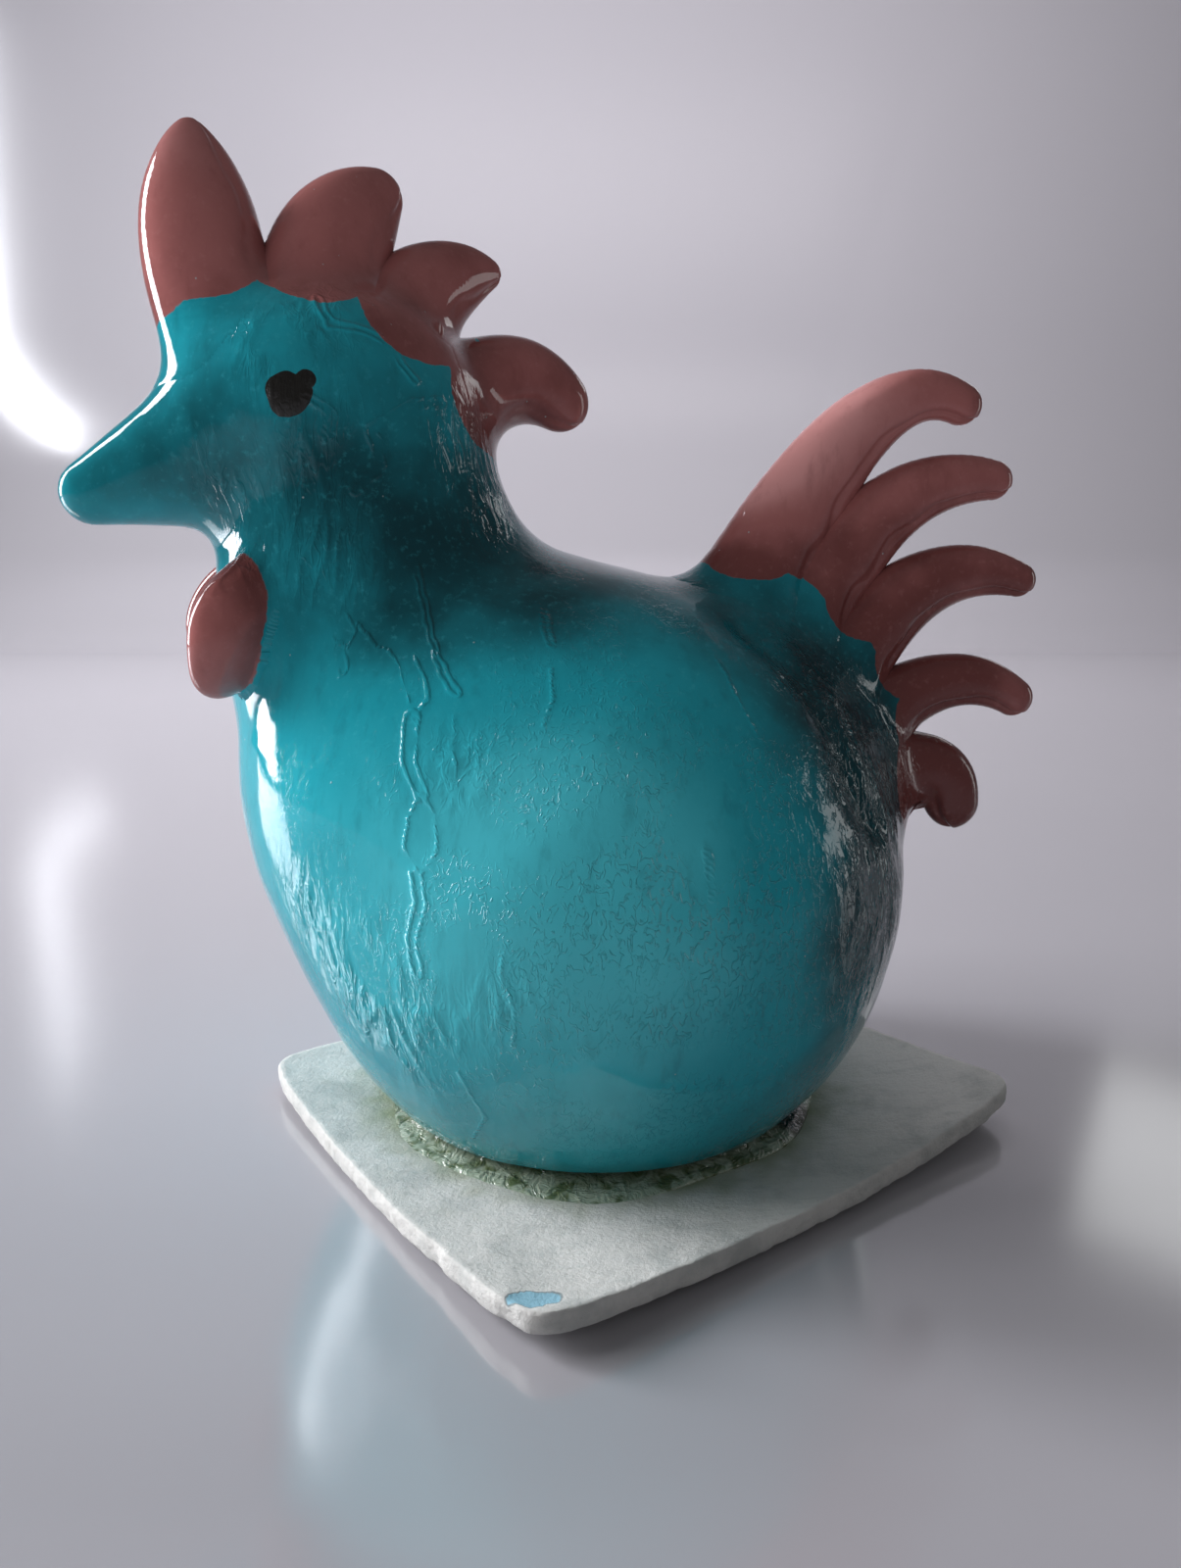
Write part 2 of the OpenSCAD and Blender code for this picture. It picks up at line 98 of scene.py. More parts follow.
def add_mesh(name, points, corners, starts, material):
    """A smooth mesh in metres from points in mm, the corners of its faces one after another,
    and where each face starts among them."""
    mesh = bpy.data.meshes.new(name)
    mesh.vertices.add(len(points))
    mesh.vertices.foreach_set("co", (points * MM).astype(np.float32).ravel())
    mesh.loops.add(len(corners))
    mesh.loops.foreach_set("vertex_index", corners.astype(np.int32))
    mesh.polygons.add(len(starts))
    mesh.polygons.foreach_set("loop_start", starts.astype(np.int32))
    mesh.polygons.foreach_set("use_smooth", np.ones(len(starts), bool))
    mesh.update(calc_edges=True)
    mesh.validate()
    mesh.materials.append(material)
    piece = bpy.data.objects.new(name, mesh)
    bpy.context.scene.collection.objects.link(piece)
    return piece


sheet_out, sheet_up = 1400.0, 1300.0
wall_at, wall_bend, bend_points = 620.0, 260.0, 25

pale_laminate, tree = new_material("polished_pale_laminate")
surface = add_node(tree, "ShaderNodeBsdfPrincipled",
                   {"Base Color": linear("#b3b1b6"), "Roughness": 0.6,
                    "Coat Weight": 1.0, "Coat Roughness": 0.14, "Coat IOR": 2.5})
add_node(tree, "ShaderNodeOutputMaterial", {"Surface": surface})


def studio_sheet():
    """Points and quads of the floor, quarter-round bend and wall: a profile in y and z swept
    straight along x."""
    turn = np.radians(np.linspace(0, 90, bend_points))
    y = np.concatenate([[-sheet_out], wall_at + wall_bend * np.sin(turn), [wall_at + wall_bend]])
    z = np.concatenate([[0], wall_bend * (1 - np.cos(turn)), [sheet_up]])
    x = np.array([-sheet_out, sheet_out])
    points = np.stack(np.broadcast_arrays(x[None, :], y[:, None], z[:, None]), -1).reshape(-1, 3)
    i = np.arange(len(y) - 1)
    return points, np.stack([2 * i, 2 * i + 1, 2 * i + 3, 2 * i + 2], -1)


points, quads = studio_sheet()
sheet = add_mesh("studio_sheet", points, quads.ravel(), np.arange(0, quads.size, 4), pale_laminate)

room_tone, room_light = "#ccccd0", 0.16
world = bpy.data.worlds.new("studio")
world.use_nodes = True
room = world.node_tree.nodes["Background"]
room.inputs["Color"].default_value = linear(room_tone)
room.inputs["Strength"].default_value = room_light
bpy.context.scene.world = world
bpy.context.scene.view_settings.view_transform = "Standard"

# Each panel's name, its place and what it faces in mm, its width and height in mm, its watts
# and colour, and whether it is mirrored. One that isn't stands for light from all over a room.
panels = [
    ("window_panel", (-854, 272, 420), (0, 0, 420), (240, 800), 9.0, "#f6f8ff", True),
    ("side_panel", (495, 70, 120), (0, 0, 60), (90, 240), 0.14, "#f2f4f4", True),
    ("far_side_panel", (459, 528, 380), (0, 0, 60), (230, 125), 0.16, "#f2f4f4", True),
    ("wash_panel", (-700, 60, 400), (0, 0, 50), (500, 500), 6.4, "#fdfcff", False),
    ("fill_panel", (-250, -560, 420), (0, 0, 50), (500, 500), 0.3, "#fbfbff", False),
    ("low_panel", (-120, -300, 3), (-120, -300, 60), (420, 260), 0.9, "#fbfbff", False),
    ("wall_panel", (0, 330, 560), (0, 800, 120), (700, 200), 3.7, "#fffaff", False)]

for name, at, aim, size, watts, tone, mirrored in panels:
    light = bpy.data.lights.new(name, "AREA")
    light.shape = "RECTANGLE"
    light.size, light.size_y = (side * MM for side in size)
    light.energy = watts
    light.color = linear(tone)[:3]
    panel = bpy.data.objects.new(name, light)
    panel.location = [c * MM for c in at]
    panel.rotation_euler = (Vector(aim) - Vector(at)).to_track_quat("-Z", "Y").to_euler()
    panel.visible_camera = False
    panel.visible_glossy = mirrored
    bpy.context.scene.collection.objects.link(panel)

# ---------------------------------------------------------------- core
# A ball of crumpled and glued paper that the clay was laid over to save weight. It can't be
# seen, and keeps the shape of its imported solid.
crumple_size, fibre_size, crease_high = 5.0, 0.6, 0.6


def per_mm(size):
    """Texture scale on Object coordinates that gives cells of a size in mm: one over it."""
    return 1 / (size * MM)


# Crumpled paper: matt and fibrous, in flat facets between creases.
crumpled_paper, tree = new_material("crumpled_paper")
here = add_node(tree, "ShaderNodeTexCoord").outputs["Object"]
crumple = add_node(tree, "ShaderNodeTexVoronoi", {"Vector": here, "Scale": per_mm(crumple_size)})
fibre = add_node(tree, "ShaderNodeTexNoise",
                 {"Vector": here, "Scale": per_mm(fibre_size), "Detail": 4.0})
tone = add_node(tree, "ShaderNodeMix", {0: fibre, 6: linear("#b9b1a0"), 7: linear("#8f8674")},
                data_type="RGBA")
creased = add_node(tree, "ShaderNodeBump", {"Height": crumple, "Distance": crease_high * MM})
surface = add_node(tree, "ShaderNodeBsdfPrincipled",
                   {"Base Color": tone, "Roughness": 0.9, "Normal": creased})
add_node(tree, "ShaderNodeOutputMaterial", {"Surface": surface})
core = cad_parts["body_core"]
core.data.materials.clear()
core.data.materials.append(crumpled_paper)

# ---------------------------------------------------------------- hen's clay form
# The hen is one smoothed skin of clay laid over a light core: a round body pressed flat at
# the foot, a breast that runs up into the neck, an egg-shaped head, a blunt beak and a low
# ridge under the tail. All sizes are in mm, and the head is turned to her left at the end.
globe_l, globe_w, globe_rise, globe_drop = 73.6, 73.2, 36.1, 38.0
foot_d, clay_t = 51.0, 4.6
breast_d, breast_out, breast_up = 55.0, 15.0, 11.5
head_turn = math.radians(20)
neck_d, neck_out, neck_up = 34.2, 25.6, 30.5
nape_d, nape_out, nape_up = 31.8, 27.8, 49.0
head_l, head_w, head_h, head_out, head_up = 31.4, 30.0, 26.4, 31.4, 54.4
beak_root_d, beak_tip_d, beak_l, beak_drop = 17.6, 7.4, 13.4, 5.0
ridge_out, ridge_t = 2.8, 10.4
slab_t, glue_film = 2.4, 0.4

foot_z = slab_t + glue_film
globe_z = foot_z + globe_drop * math.sqrt(1 - (foot_d / globe_l) ** 2)
globe_mid = np.array([0, 0, globe_z])
globe_r = np.array([globe_l / 2, globe_w / 2, globe_rise])


def place(out, up, side=0.0):
    """A point in mm, out towards the beak and up from the body's middle."""
    return globe_mid + np.array([-out, side, up])


breast_mid = place(breast_out, breast_up)
neck_mid = place(neck_out, neck_up)
nape_mid = place(nape_out, nape_up)
head_mid = place(head_out, head_up)
head_r = np.array([head_l, head_w, head_h]) / 2
beak_out = head_out + head_l * 0.34
beak_up = head_up - head_h * 0.2
beak_root = place(beak_out, beak_up)
beak_tip = place(beak_out + beak_l, beak_up - beak_drop)
ridge_from, ridge_to = np.radians(20), np.radians(60)
ridge_r = globe_l / 2 + ridge_out - ridge_t / 2
breast_blend, neck_blend = breast_d * 0.12, neck_d * 0.165
head_blend, beak_blend = head_h * 0.175, beak_root_d * 0.215
ridge_blend, foot_blend = ridge_t * 0.77, foot_d * 0.025


def mix(a, b, t):
    """The value at a share t of the straight way from a to b."""
    return a + (b - a) * t


def bend(a, b, c, t):
    """The value at a share t of the bent way from a past b to c: a mix of two mixes."""
    return mix(mix(a, b, t), mix(b, c, t), t)


def smooth_step(x):
    """Rises smoothly from 0 to 1 as x does: three squares less two cubes."""
    t = np.clip(x, 0, 1)
    return t * t * (3 - 2 * t)


def smooth_min(a, b, k, power=2):
    """Two distances joined with a fillet: less by a power of how near each other they are, as a
    share of the width k. A higher power lets the fillet run out more flatly."""
    h = np.maximum(k - np.abs(a - b), 0) / k
    return np.minimum(a, b) - h ** power * k / (2 * power)


def length(v):
    """Lengths of vectors: the root of the sum of the squares of their parts."""
    return np.sqrt(np.einsum("...i,...i->...", v, v))


def egg(p, c, r, drop):
    """Distance to an egg with the half sizes r round c, whose lower end reaches down by drop."""
    q = p - c
    rz = np.where(q[..., 2] < 0, drop, r[2])
    q = np.stack([q[..., 0] / r[0], q[..., 1] / r[1], q[..., 2] / rz], -1)
    n = length(q)
    g = length(np.stack([q[..., 0] / r[0], q[..., 1] / r[1], q[..., 2] / rz], -1))
    return n * (n - 1) / np.maximum(g, 1e-9)


def cone(p, a, ra, b, rb):
    """Distance to a cone with ball ends: radius ra round a, radius rb round b."""
    l = length(b - a)
    h = (p - a) @ ((b - a) / l)
    q = np.sqrt(np.maximum(np.einsum("...i,...i->...", p - a, p - a) - h * h, 0))
    s = (ra - rb) / l
    k = np.clip((h - q * s / math.sqrt(1 - s * s)) / l, 0, 1)
    return np.sqrt(q * q + (h - k * l) ** 2) - mix(ra, rb, k)


def ridge(p):
    """Distance to the ridge, a round bar bent round the back of the body."""
    q = p - globe_mid
    a = np.clip(np.arctan2(q[..., 2], q[..., 0]), ridge_from, ridge_to)
    return np.sqrt((q[..., 0] - ridge_r * np.cos(a)) ** 2 + q[..., 1] ** 2
                   + (q[..., 2] - ridge_r * np.sin(a)) ** 2) - ridge_t / 2


def hen(p):
    """Distance to the hen's modelled clay without lobes, wattles and feathers."""
    d = smooth_min(egg(p, globe_mid, globe_r, globe_drop),
                   cone(p, breast_mid, breast_d / 2, neck_mid, neck_d / 2), breast_blend)
    d = smooth_min(d, cone(p, neck_mid, neck_d / 2, nape_mid, nape_d / 2), neck_blend)
    d = smooth_min(d, egg(p, head_mid, head_r, head_r[2]), head_blend)
    d = smooth_min(d, cone(p, beak_root, beak_root_d / 2, beak_tip, beak_tip_d / 2), beak_blend)
    d = smooth_min(d, ridge(p), ridge_blend)
    return -smooth_min(-d, p[..., 2] - foot_z, foot_blend)


def surface_at(field, o, d, low, high, steps=16):
    """Where each ray from o towards d leaves the clay, by halving the span low to high."""
    low = np.broadcast_to(low, d.shape[:-1]).copy()
    high = np.broadcast_to(high, d.shape[:-1]).copy()
    for _ in range(steps):
        m = (low + high) / 2
        inside = field(o + m[..., None] * d) < 0
        low = np.where(inside, m, low)
        high = np.where(inside, high, m)
    return o + ((low + high) / 2)[..., None] * d


axis_u = (head_mid - globe_mid) / length(head_mid - globe_mid)
axis_l = length(head_mid - globe_mid)
axis_n = np.array([axis_u[2], 0, -axis_u[0]])
turn_start, turn_end = globe_rise * 0.88, globe_rise * 1.36


def turned(p):
    """Turns the neck and head to the hen's left about an upright line: not at all on the body,
    fully above the neck."""
    a = head_turn * smooth_step(((p - globe_mid) @ axis_u - turn_start) / (turn_end - turn_start))
    x, y = p[..., 0] + neck_out, p[..., 1]
    return np.stack([x * np.cos(a) - y * np.sin(a) - neck_out,
                     x * np.sin(a) + y * np.cos(a), p[..., 2]], -1)


core_r, core_gap = globe_l / 2 - clay_t, 0.25

# The skin is found along rays round the hen's middle line: how many stand round it, how much
# they crowd together, how far they lean off it in degrees, where its pieces part, and the rows
# of rays for each stretch from the foot to the crown.
columns, crowd_share = 768, 0.15
lean, split_off, split_start = 80.0, 112.0, 0.52 * axis_l
low_rows, side_rows, shoulder_rows, neck_rows, crown_rows = 119, 50, 67, 63, 59


def side_ways(count):
    """Level directions round the hen's axis, a little closer at the breast and back lines."""
    h = 2 * np.arange(count) / count
    t = np.where(h <= 1, h, 2 - h)
    half = math.pi * mix(t, (1 - np.cos(math.pi * t)) / 2, crowd_share)
    turn = np.where(h <= 1, half, 2 * math.pi - half)
    return np.cos(turn)[:, None] * axis_n - np.sin(turn)[:, None] * np.array([0, 1, 0])


def ring_rays(offs):
    """Directions of a ring of rays for each lean off the hen's axis, in degrees."""
    off = np.radians(offs)[:, None, None]
    return np.cos(off) * axis_u + np.sin(off) * side_ways(columns)[None]


def ring_normals(p):
    """Outward normals of rings of points, from the steps along and round the grid."""
    along = np.gradient(p, axis=0)
    around = np.roll(p, -1, 1) - np.roll(p, 1, 1)
    n = np.cross(along, around)
    return n / np.maximum(length(n), 1e-12)[..., None]


def closed_tube(name, rings, material, normals=None, poles=None):
    """A closed mesh: quads between rings of points, and at each end a fan to a pole, which is
    the mean of the last ring there. The rings run clockwise seen from beyond the last pole."""
    count, sides = rings.shape[:2]
    poles = rings[[0, -1]].mean(1) if poles is None else poles
    points = np.concatenate([rings.reshape(-1, 3), poles])
    i, j = np.meshgrid(np.arange(count - 1), np.arange(sides), indexing="ij")
    a, b = i * sides + j, i * sides + (j + 1) % sides
    quads = np.stack([a, a + sides, b + sides, b], -1).reshape(-1)
    j = np.arange(sides)
    k = (j + 1) % sides
    low, high = count * sides, count * sides + 1
    end = (count - 1) * sides
    fans = np.concatenate([np.stack([np.full(sides, low), j, k], -1),
                           np.stack([np.full(sides, high), end + k, end + j], -1)]).reshape(-1)
    starts = np.concatenate([np.arange(0, len(quads), 4), len(quads) + np.arange(0, len(fans), 3)])
    piece = add_mesh(name, points, np.concatenate([quads, fans]), starts, material)
    if normals is not None:
        flat = np.concatenate([normals.reshape(-1, 3), normals[[0, -1]].mean(1)])
        flat /= np.maximum(length(flat), 1e-9)[:, None]
        piece.data.normals_split_custom_set_from_vertices(flat.tolist())
    return piece


def give_attributes(piece, **numbers):
    """Stores numbers, one per vertex, under names that the material reads. The two poles of a
    closed tube take the number of the ring beside them."""
    for name, values in numbers.items():
        values = np.concatenate([values.ravel(), values[[0, -1], 0]])
        layer = piece.data.attributes.new(name, "FLOAT", "POINT")
        layer.data.foreach_set("value", values.astype(np.float32))


noise_cells, noise_shift = 32, 37.3
noise_slopes = np.random.default_rng(7).normal(size=(noise_cells ** 3, 3))
noise_slopes /= length(noise_slopes)[:, None]


def noise(p, size):
    """Smooth noise of about -0.7 to 0.7: random slopes on a lattice with cells of the given
    sizes, blended with a quintic step. It is the same at a place on every piece, and a number
    added to p takes another part of it."""
    q = p / np.asarray(size, float) + noise_shift
    base = np.floor(q).astype(int)
    f = q - base
    u = f * f * f * (f * (f * 6 - 15) + 10)
    total = 0
    for corner in np.ndindex(2, 2, 2):
        c = np.array(corner)
        cell = (base + c) % noise_cells
        row = (cell[..., 0] * noise_cells + cell[..., 1]) * noise_cells + cell[..., 2]
        weight = np.prod(np.where(c, u, 1 - u), -1)
        total = total + weight * np.einsum("...i,...i->...", noise_slopes[row], f - c)
    return total


def waves(p, layers):
    """Noises laid over each other: the sum over layers of a height times the noise of a size."""
    return sum(height * noise(p, size) for height, size in layers)


# The paint is a thick water-based colour under a clear lacquer that was brushed on wet. The
# colour is cloudy and streaked. The lacquer is as smooth as glass between its own wrinkles, and
# over the belly it has crazed into short curled lines. The pink ends in a scallop under each
# lobe and feather: a round patch seen from the side, as x, z, reach and how much y counts.
pink_patches = [(-45.0, 103.0, 10.2, 0.0), (-32.0, 100.8, 7.8, 0.0), (-21.0, 94.5, 7.4, 0.0),
                (-12.3, 85.2, 6.8, 0.0), (18.3, 75.4, 10.4, 0.3), (32.0, 64.0, 6.3, 0.4),
                (37.5, 56.5, 5.7, 0.5), (41.0, 48.5, 6.4, 0.5), (42.0, 41.5, 8.6, 0.5)]
pink_clear, far_from_rim, rim_waves = 2.4, 4.0, ((0.5, 3.4), (0.1, 1.3))
crazed_mid, crazed_reach = (8.0, 32.0), 17.0
crazed_cell, crazed_from, crazed_run = 8.0, -0.3, 0.35


def pink_inside(p, clear=pink_clear):
    """Distance in mm inside the pink paint's rim, below zero outside it: inside any patch, or
    further than clear from the hen's own skin, with a hand's wobble."""
    inside = hen(p) - clear
    for x, z, reach, flat in pink_patches:
        away = np.sqrt((p[..., 0] - x) ** 2 + (flat * p[..., 1]) ** 2 + (p[..., 2] - z) ** 2)
        inside = np.maximum(inside, reach - away)
    return np.clip(inside + waves(p, rim_waves), -far_from_rim, far_from_rim)


# Light and shade painted into the colour as soft clouds, the same on both sides: x, y, z, reach
# and strength. Above zero the paint is paler, as painted light on the belly and breast, the first
# tail feather and the tall first lobe. Below zero it is darker, as painted shade on the neck,
# cheek, shoulder, back, beak and tail side.
painted_light_and_shade_clouds = [(-2, 36, 42, 15, 0.70), (-6, 36, 26, 14, 0.45), (-36, 16, 40, 14, 0.25),
               (-54, 0, 83, 10, -0.18), (-24, 16, 68, 11, -0.36), (-41, 12, 76, 9, -0.22),
               (-7, 18, 62, 12, -0.34), (14, 14, 62, 12, -0.20), (34, 14, 48, 14, -0.42),
               (32, 24, 30, 14, -0.42), (19, 0, 78, 5, 1.0), (25, 0, 86, 6, 0.9),
               (-44, 0, 108, 7, 0.3)]


def painted_light_and_shade_at(p):
    """The light and shade painted into the colour, from -1 to 1: soft clouds, paler above zero and
    darker below, the same on both sides of the hen.
    """
    mirrored = np.where([0, 1, 0], np.abs(p), p)
    return sum(s * np.exp(-((mirrored - c) ** 2).sum(-1) / (2 * r * r))
               for c, r, s in ((np.array(k[:3]), k[3], k[4]) for k in painted_light_and_shade_clouds))


def paint_marks(piece, p, marks, clear=pink_clear):
    """Gives a painted piece how wrinkled it is and its distance to a vein, from marks, and its
    distance to the pink's rim, the light and shade painted into its colour, and how crazed it is:
    a bell round the belly."""
    spread = (p[..., 0] - crazed_mid[0]) ** 2 + (p[..., 2] - crazed_mid[1]) ** 2
    broken = smooth_step((noise(p + 71, crazed_cell) - crazed_from) / crazed_run)
    give_attributes(piece, pink=pink_inside(p, clear), combed=marks[0], vein=marks[1],
                    pale=painted_light_and_shade_at(p), crazed=np.exp(-spread / (2 * crazed_reach ** 2)) * broken)


def lay_over(tree, colour, *layers):
    """Lays colours over a first one. A layer is its colour, the pattern that it follows, where
    in that it starts and where it is full, and the share that it covers there."""
    for over, pattern, low, high, most in layers:
        share = add_node(tree, "ShaderNodeMapRange",
                         {0: pattern, 1: low, 2: high, 3: 0.0, 4: most},
                         interpolation_type="SMOOTHSTEP")
        colour = add_node(tree, "ShaderNodeMix", {0: share, 6: colour, 7: over}, data_type="RGBA")
    return colour


# The paint's own dark, mid and pale tones, which also paint light and shade into the colour.
teal_dark, teal_mid, teal_pale = linear("#053b42"), linear("#1d9dab"), linear("#4bc3cf")
rose_dark, rose_mid, rose_pale = linear("#73403d"), linear("#a06360"), linear("#c48a87")
crack_tone, dust_tone = linear("#06414a"), linear("#b9cfcf")

# Craft paint under brushed lacquer: a sharp mirror over a duller colour. In mm, the paint has
# clouds of 9, brush streaks of 1.6 and grains of 0.8. The lacquer has upright folds of 1.1,
# crazed curls of 0.9 and specks of dust 3.4 apart. Veins are raised lines 0.5 wide.
lacquered_paint, tree = new_material("lacquered_paint_on_clay")
here = add_node(tree, "ShaderNodeTexCoord").outputs["Object"]
# One attribute read here holds the light and shade painted into the colour as soft clouds.
pink, combed, vein, pale, crazed = (
    add_node(tree, "ShaderNodeAttribute", attribute_name=name).outputs["Fac"]
    for name in ("pink", "combed", "vein", "pale", "crazed"))
upright, tall = (add_node(tree, "ShaderNodeMapping", {"Vector": here, "Scale": (1.0, 1.0, share)})
                 for share in (0.3, 0.6))
cloud, streak, grain, fold, curl = (
    add_node(tree, "ShaderNodeTexNoise", {"Vector": at, "Scale": per_mm(size), "Detail": detail,
                                          "Roughness": rough, "Distortion": twist})
    for at, size, detail, rough, twist in (
        (here, 9, 4.0, 0.5, 0.0), (upright, 1.6, 5.0, 0.62, 0.0), (here, 0.8, 6.0, 0.65, 0.0),
        (upright, 1.1, 2.0, 0.5, 0.6), (tall, 0.9, 1.0, 0.5, 0.9)))
# Teal and rose tones follow random clouds in the paint and also the painted light and shade: paler
# where light is painted on, darker where shade is painted.
teal_tone_and_painted_light, rose_tone_and_painted_light, rim = (
    add_node(tree, "ShaderNodeMath", {0: pattern, 1: share, 2: base}, operation="MULTIPLY_ADD")
    for pattern, share, base in ((cloud, 0.5, pale), (cloud, 0.6, pale), (grain, 0.5, pink)))
teal = lay_over(tree, teal_dark, (teal_mid, teal_tone_and_painted_light, -0.25, 0.32, 1.0),
                (teal_pale, teal_tone_and_painted_light, 0.32, 1.1, 1.0), (teal_dark, streak, 0.48, 0.78, 0.22),
                (teal_pale, grain, 0.52, 0.80, 0.24))
rose = lay_over(tree, rose_dark, (rose_mid, rose_tone_and_painted_light, 0.06, 0.36, 1.0),
                (rose_pale, rose_tone_and_painted_light, 0.36, 1.0, 1.0), (rose_dark, streak, 0.50, 0.80, 0.3),
                (rose_pale, grain, 0.52, 0.80, 0.2))
# Folding a noise back at its middle value turns that value's winding lines into ridges.
fold, curl = (add_node(tree, "ShaderNodeMath", {0: pattern, 1: 0.5}, operation="PINGPONG")
              for pattern in (fold, curl))
fold, curl, broken, vein = (
    add_node(tree, "ShaderNodeMapRange", {0: pattern, 1: low, 2: high, 3: off, 4: 1.0 - off},
             interpolation_type="SMOOTHSTEP")
    for pattern, low, high, off in ((fold, 0.41, 0.5, 0.0), (curl, 0.44, 0.5, 0.0),
                                    (grain, 0.42, 0.55, 0.0), (vein, 0.05, 0.32, 1.0)))
fold, crack = (
    add_node(tree, "ShaderNodeMath", {0: pattern, 1: share}, operation="MULTIPLY")
    for pattern, share in ((fold, combed), (curl, broken)))
crack = add_node(tree, "ShaderNodeMath", {0: crack, 1: crazed}, operation="MULTIPLY")
dust = add_node(tree, "ShaderNodeTexVoronoi", {"Vector": here, "Scale": per_mm(3.4)})
speck = add_node(tree, "ShaderNodeMapRange", {0: dust, 1: 0.02, 2: 0.04, 3: 1.0, 4: 0.0})
colour = lay_over(tree, teal, (rose, rim, 0.18, 0.32, 1.0), (crack_tone, crack, 0.0, 1.0, 0.16),
                  (dust_tone, speck, 0.0, 1.0, 0.5))
raised = {}
for pattern, high in ((streak, 0.010), (fold, 0.06), (vein, 0.08), (crack, 0.09), (speck, 0.04)):
    bump = add_node(tree, "ShaderNodeBump", {"Height": pattern, "Distance": high * MM} | raised)
    raised = {"Normal": bump}
dull = add_node(tree, "ShaderNodeMapRange", {0: streak, 1: 0.3, 2: 0.7, 3: 0.30, 4: 0.50})
surface = add_node(tree, "ShaderNodeBsdfPrincipled",
                   {"Base Color": colour, "Roughness": dull, "Specular IOR Level": 0.0,
                    "Normal": bump, "Coat Weight": 1.0, "Coat Roughness": 0.04,
                    "Coat IOR": 1.48, "Coat Normal": bump})
add_node(tree, "ShaderNodeOutputMaterial", {"Surface": surface})

# Where the lacquer has wrinkled in clusters: x, y, z, reach and strength of each
wrinkle_spots = np.array([
    [-38, -14, 88, 2.6, 0.9], [-33, -16, 79, 3.2, 1.0], [-43, -10, 75, 3.0, 0.8],
    [-33, -16, 69, 4.5, 0.9], [-31, -13, 92, 3.0, 0.7], [-14, -12, 73, 3.5, 1.0],
    [-18, -13, 81, 3.0, 0.9], [-43, -12, 67, 2.2, 0.9], [-13, -29, 48, 2.6, 0.8],
    [-30, -22, 33, 3.0, 0.8], [-24, -27, 25, 4.5, 1.3], [-18, -30, 21, 3.6, 1.3],
    [-8, -35, 26, 2.8, 0.9], [20, -14, 57, 4.0, 1.2], [26, -17, 49, 4.5, 1.5],
    [31, -17, 42, 4.0, 1.4], [22, -25, 42, 4.0, 0.8], [30, -20, 32, 5.0, 1.3],
    [26, -22, 20, 4.0, 0.6], [-20, 30, 38, 6.0, 0.8], [-28, 14, 74, 5.0, 0.8],
    [14, 32, 30, 6.0, 0.8], [28, 16, 42, 5.0, 0.8], [-38, 12, 86, 3.0, 0.8],
    [-36, 20, 28, 5.0, 0.8], [2, 34, 18, 4.0, 0.6]])
# Raised veins where the lacquer puckered: half the gap of a double one, then x and z along it
veins = [
    (0.0, (-32.5, 62), (-31, 63), (-29.5, 62), (-28, 60.5), (-28, 59), (-30.5, 59.5),
     (-32.5, 61), (-32.5, 62)),
    (0.5, (-29.5, 59), (-27, 56.5)),
    (0.0, (-28.5, 61.5), (-25, 59.5), (-20.5, 58), (-19, 55.5), (-18.5, 54)),
    (0.0, (-18.5, 58.5), (-17, 56.5), (-16.5, 54.5), (-18, 52.5)),
    (0.7, (-18, 52.5), (-18.5, 48.5), (-17, 46)),
    (0.0, (-17, 46), (-18.5, 43.5), (-18.5, 41), (-17, 38.5), (-15.5, 41), (-15.5, 44), (-17, 46)),
    (0.5, (-17.5, 38.5), (-17, 36), (-18, 32), (-17.5, 29)),
    (0.0, (-14, 53), (-14, 51), (-13.5, 48.5)),
    (0.3, (-22.5, 66.5), (-20.5, 64), (-18, 61.5), (-16.5, 59.5), (-15, 56), (-14, 55)),
    (0.35, (-5.5, 63.5), (-5, 61), (-4.5, 59.5)), (0.0, (-4.5, 57), (-4.2, 54), (-5, 52)),
    (0.5, (-30, 74.5), (-28, 76.5), (-28, 79), (-28.5, 80), (-26.5, 81), (-24, 82.5), (-20.5, 83)),
    (0.4, (-32.5, 93), (-31.5, 90.5), (-28, 90), (-25.5, 88.5), (-23, 85)),
    (0.0, (11.5, 58.5), (15.5, 51)), (0.4, (-34.5, 83), (-33, 82), (-32, 81), (-32.5, 79)),
    (0.0, (-8, 36), (-9, 30), (-8, 26), (-8.5, 22)), (0.3, (10.5, 44), (10, 41), (10.5, 37)),
    (0.0, (-14, 18), (-11.5, 12), (-13, 8))]
other_side = np.array([5.0, -4.0])
vein_far, vein_height, vein_half = 3.0, 0.09, 0.24
vein_wind, vein_shake, vein_shake_cell = 0.8, 0.35, 1.7
# What thins a vein out along its way: fine ragged edges and slow breaks
ragged, ragged_cell = 0.12, 2.0
break_up, break_cell, break_from, break_run = 0.30, 4.0, -0.05, 0.3
# The crease where the round side turns into the hollow flank of the tail ridge: x, y, z
crease_line = np.array([[17.0, 12.5, 60.0], [20.6, 14.7, 56.3], [23.3, 17.0, 52.5],
                        [26.5, 20.0, 44.9], [29.2, 19.6, 40.5]])
crease_depth, crease_w = 1.2, 2.3
# Lumps from the fingers, as height and size, and how deep the clay is sunk to leave them room
lumps, sunk = ((0.34, 19.0), (0.20, 8.5), (0.05, 3.8)), 0.34
# Wrinkles stand upright and wind, and their clusters have torn outlines.
wrinkle_height, wrinkle_half, wrinkle_wind, wrinkle_cell = 0.20, 0.15, 1.9, (1.9, 1.9, 6.0)
torn_cell, torn_from, torn_run = 6.5, -0.35, 0.3
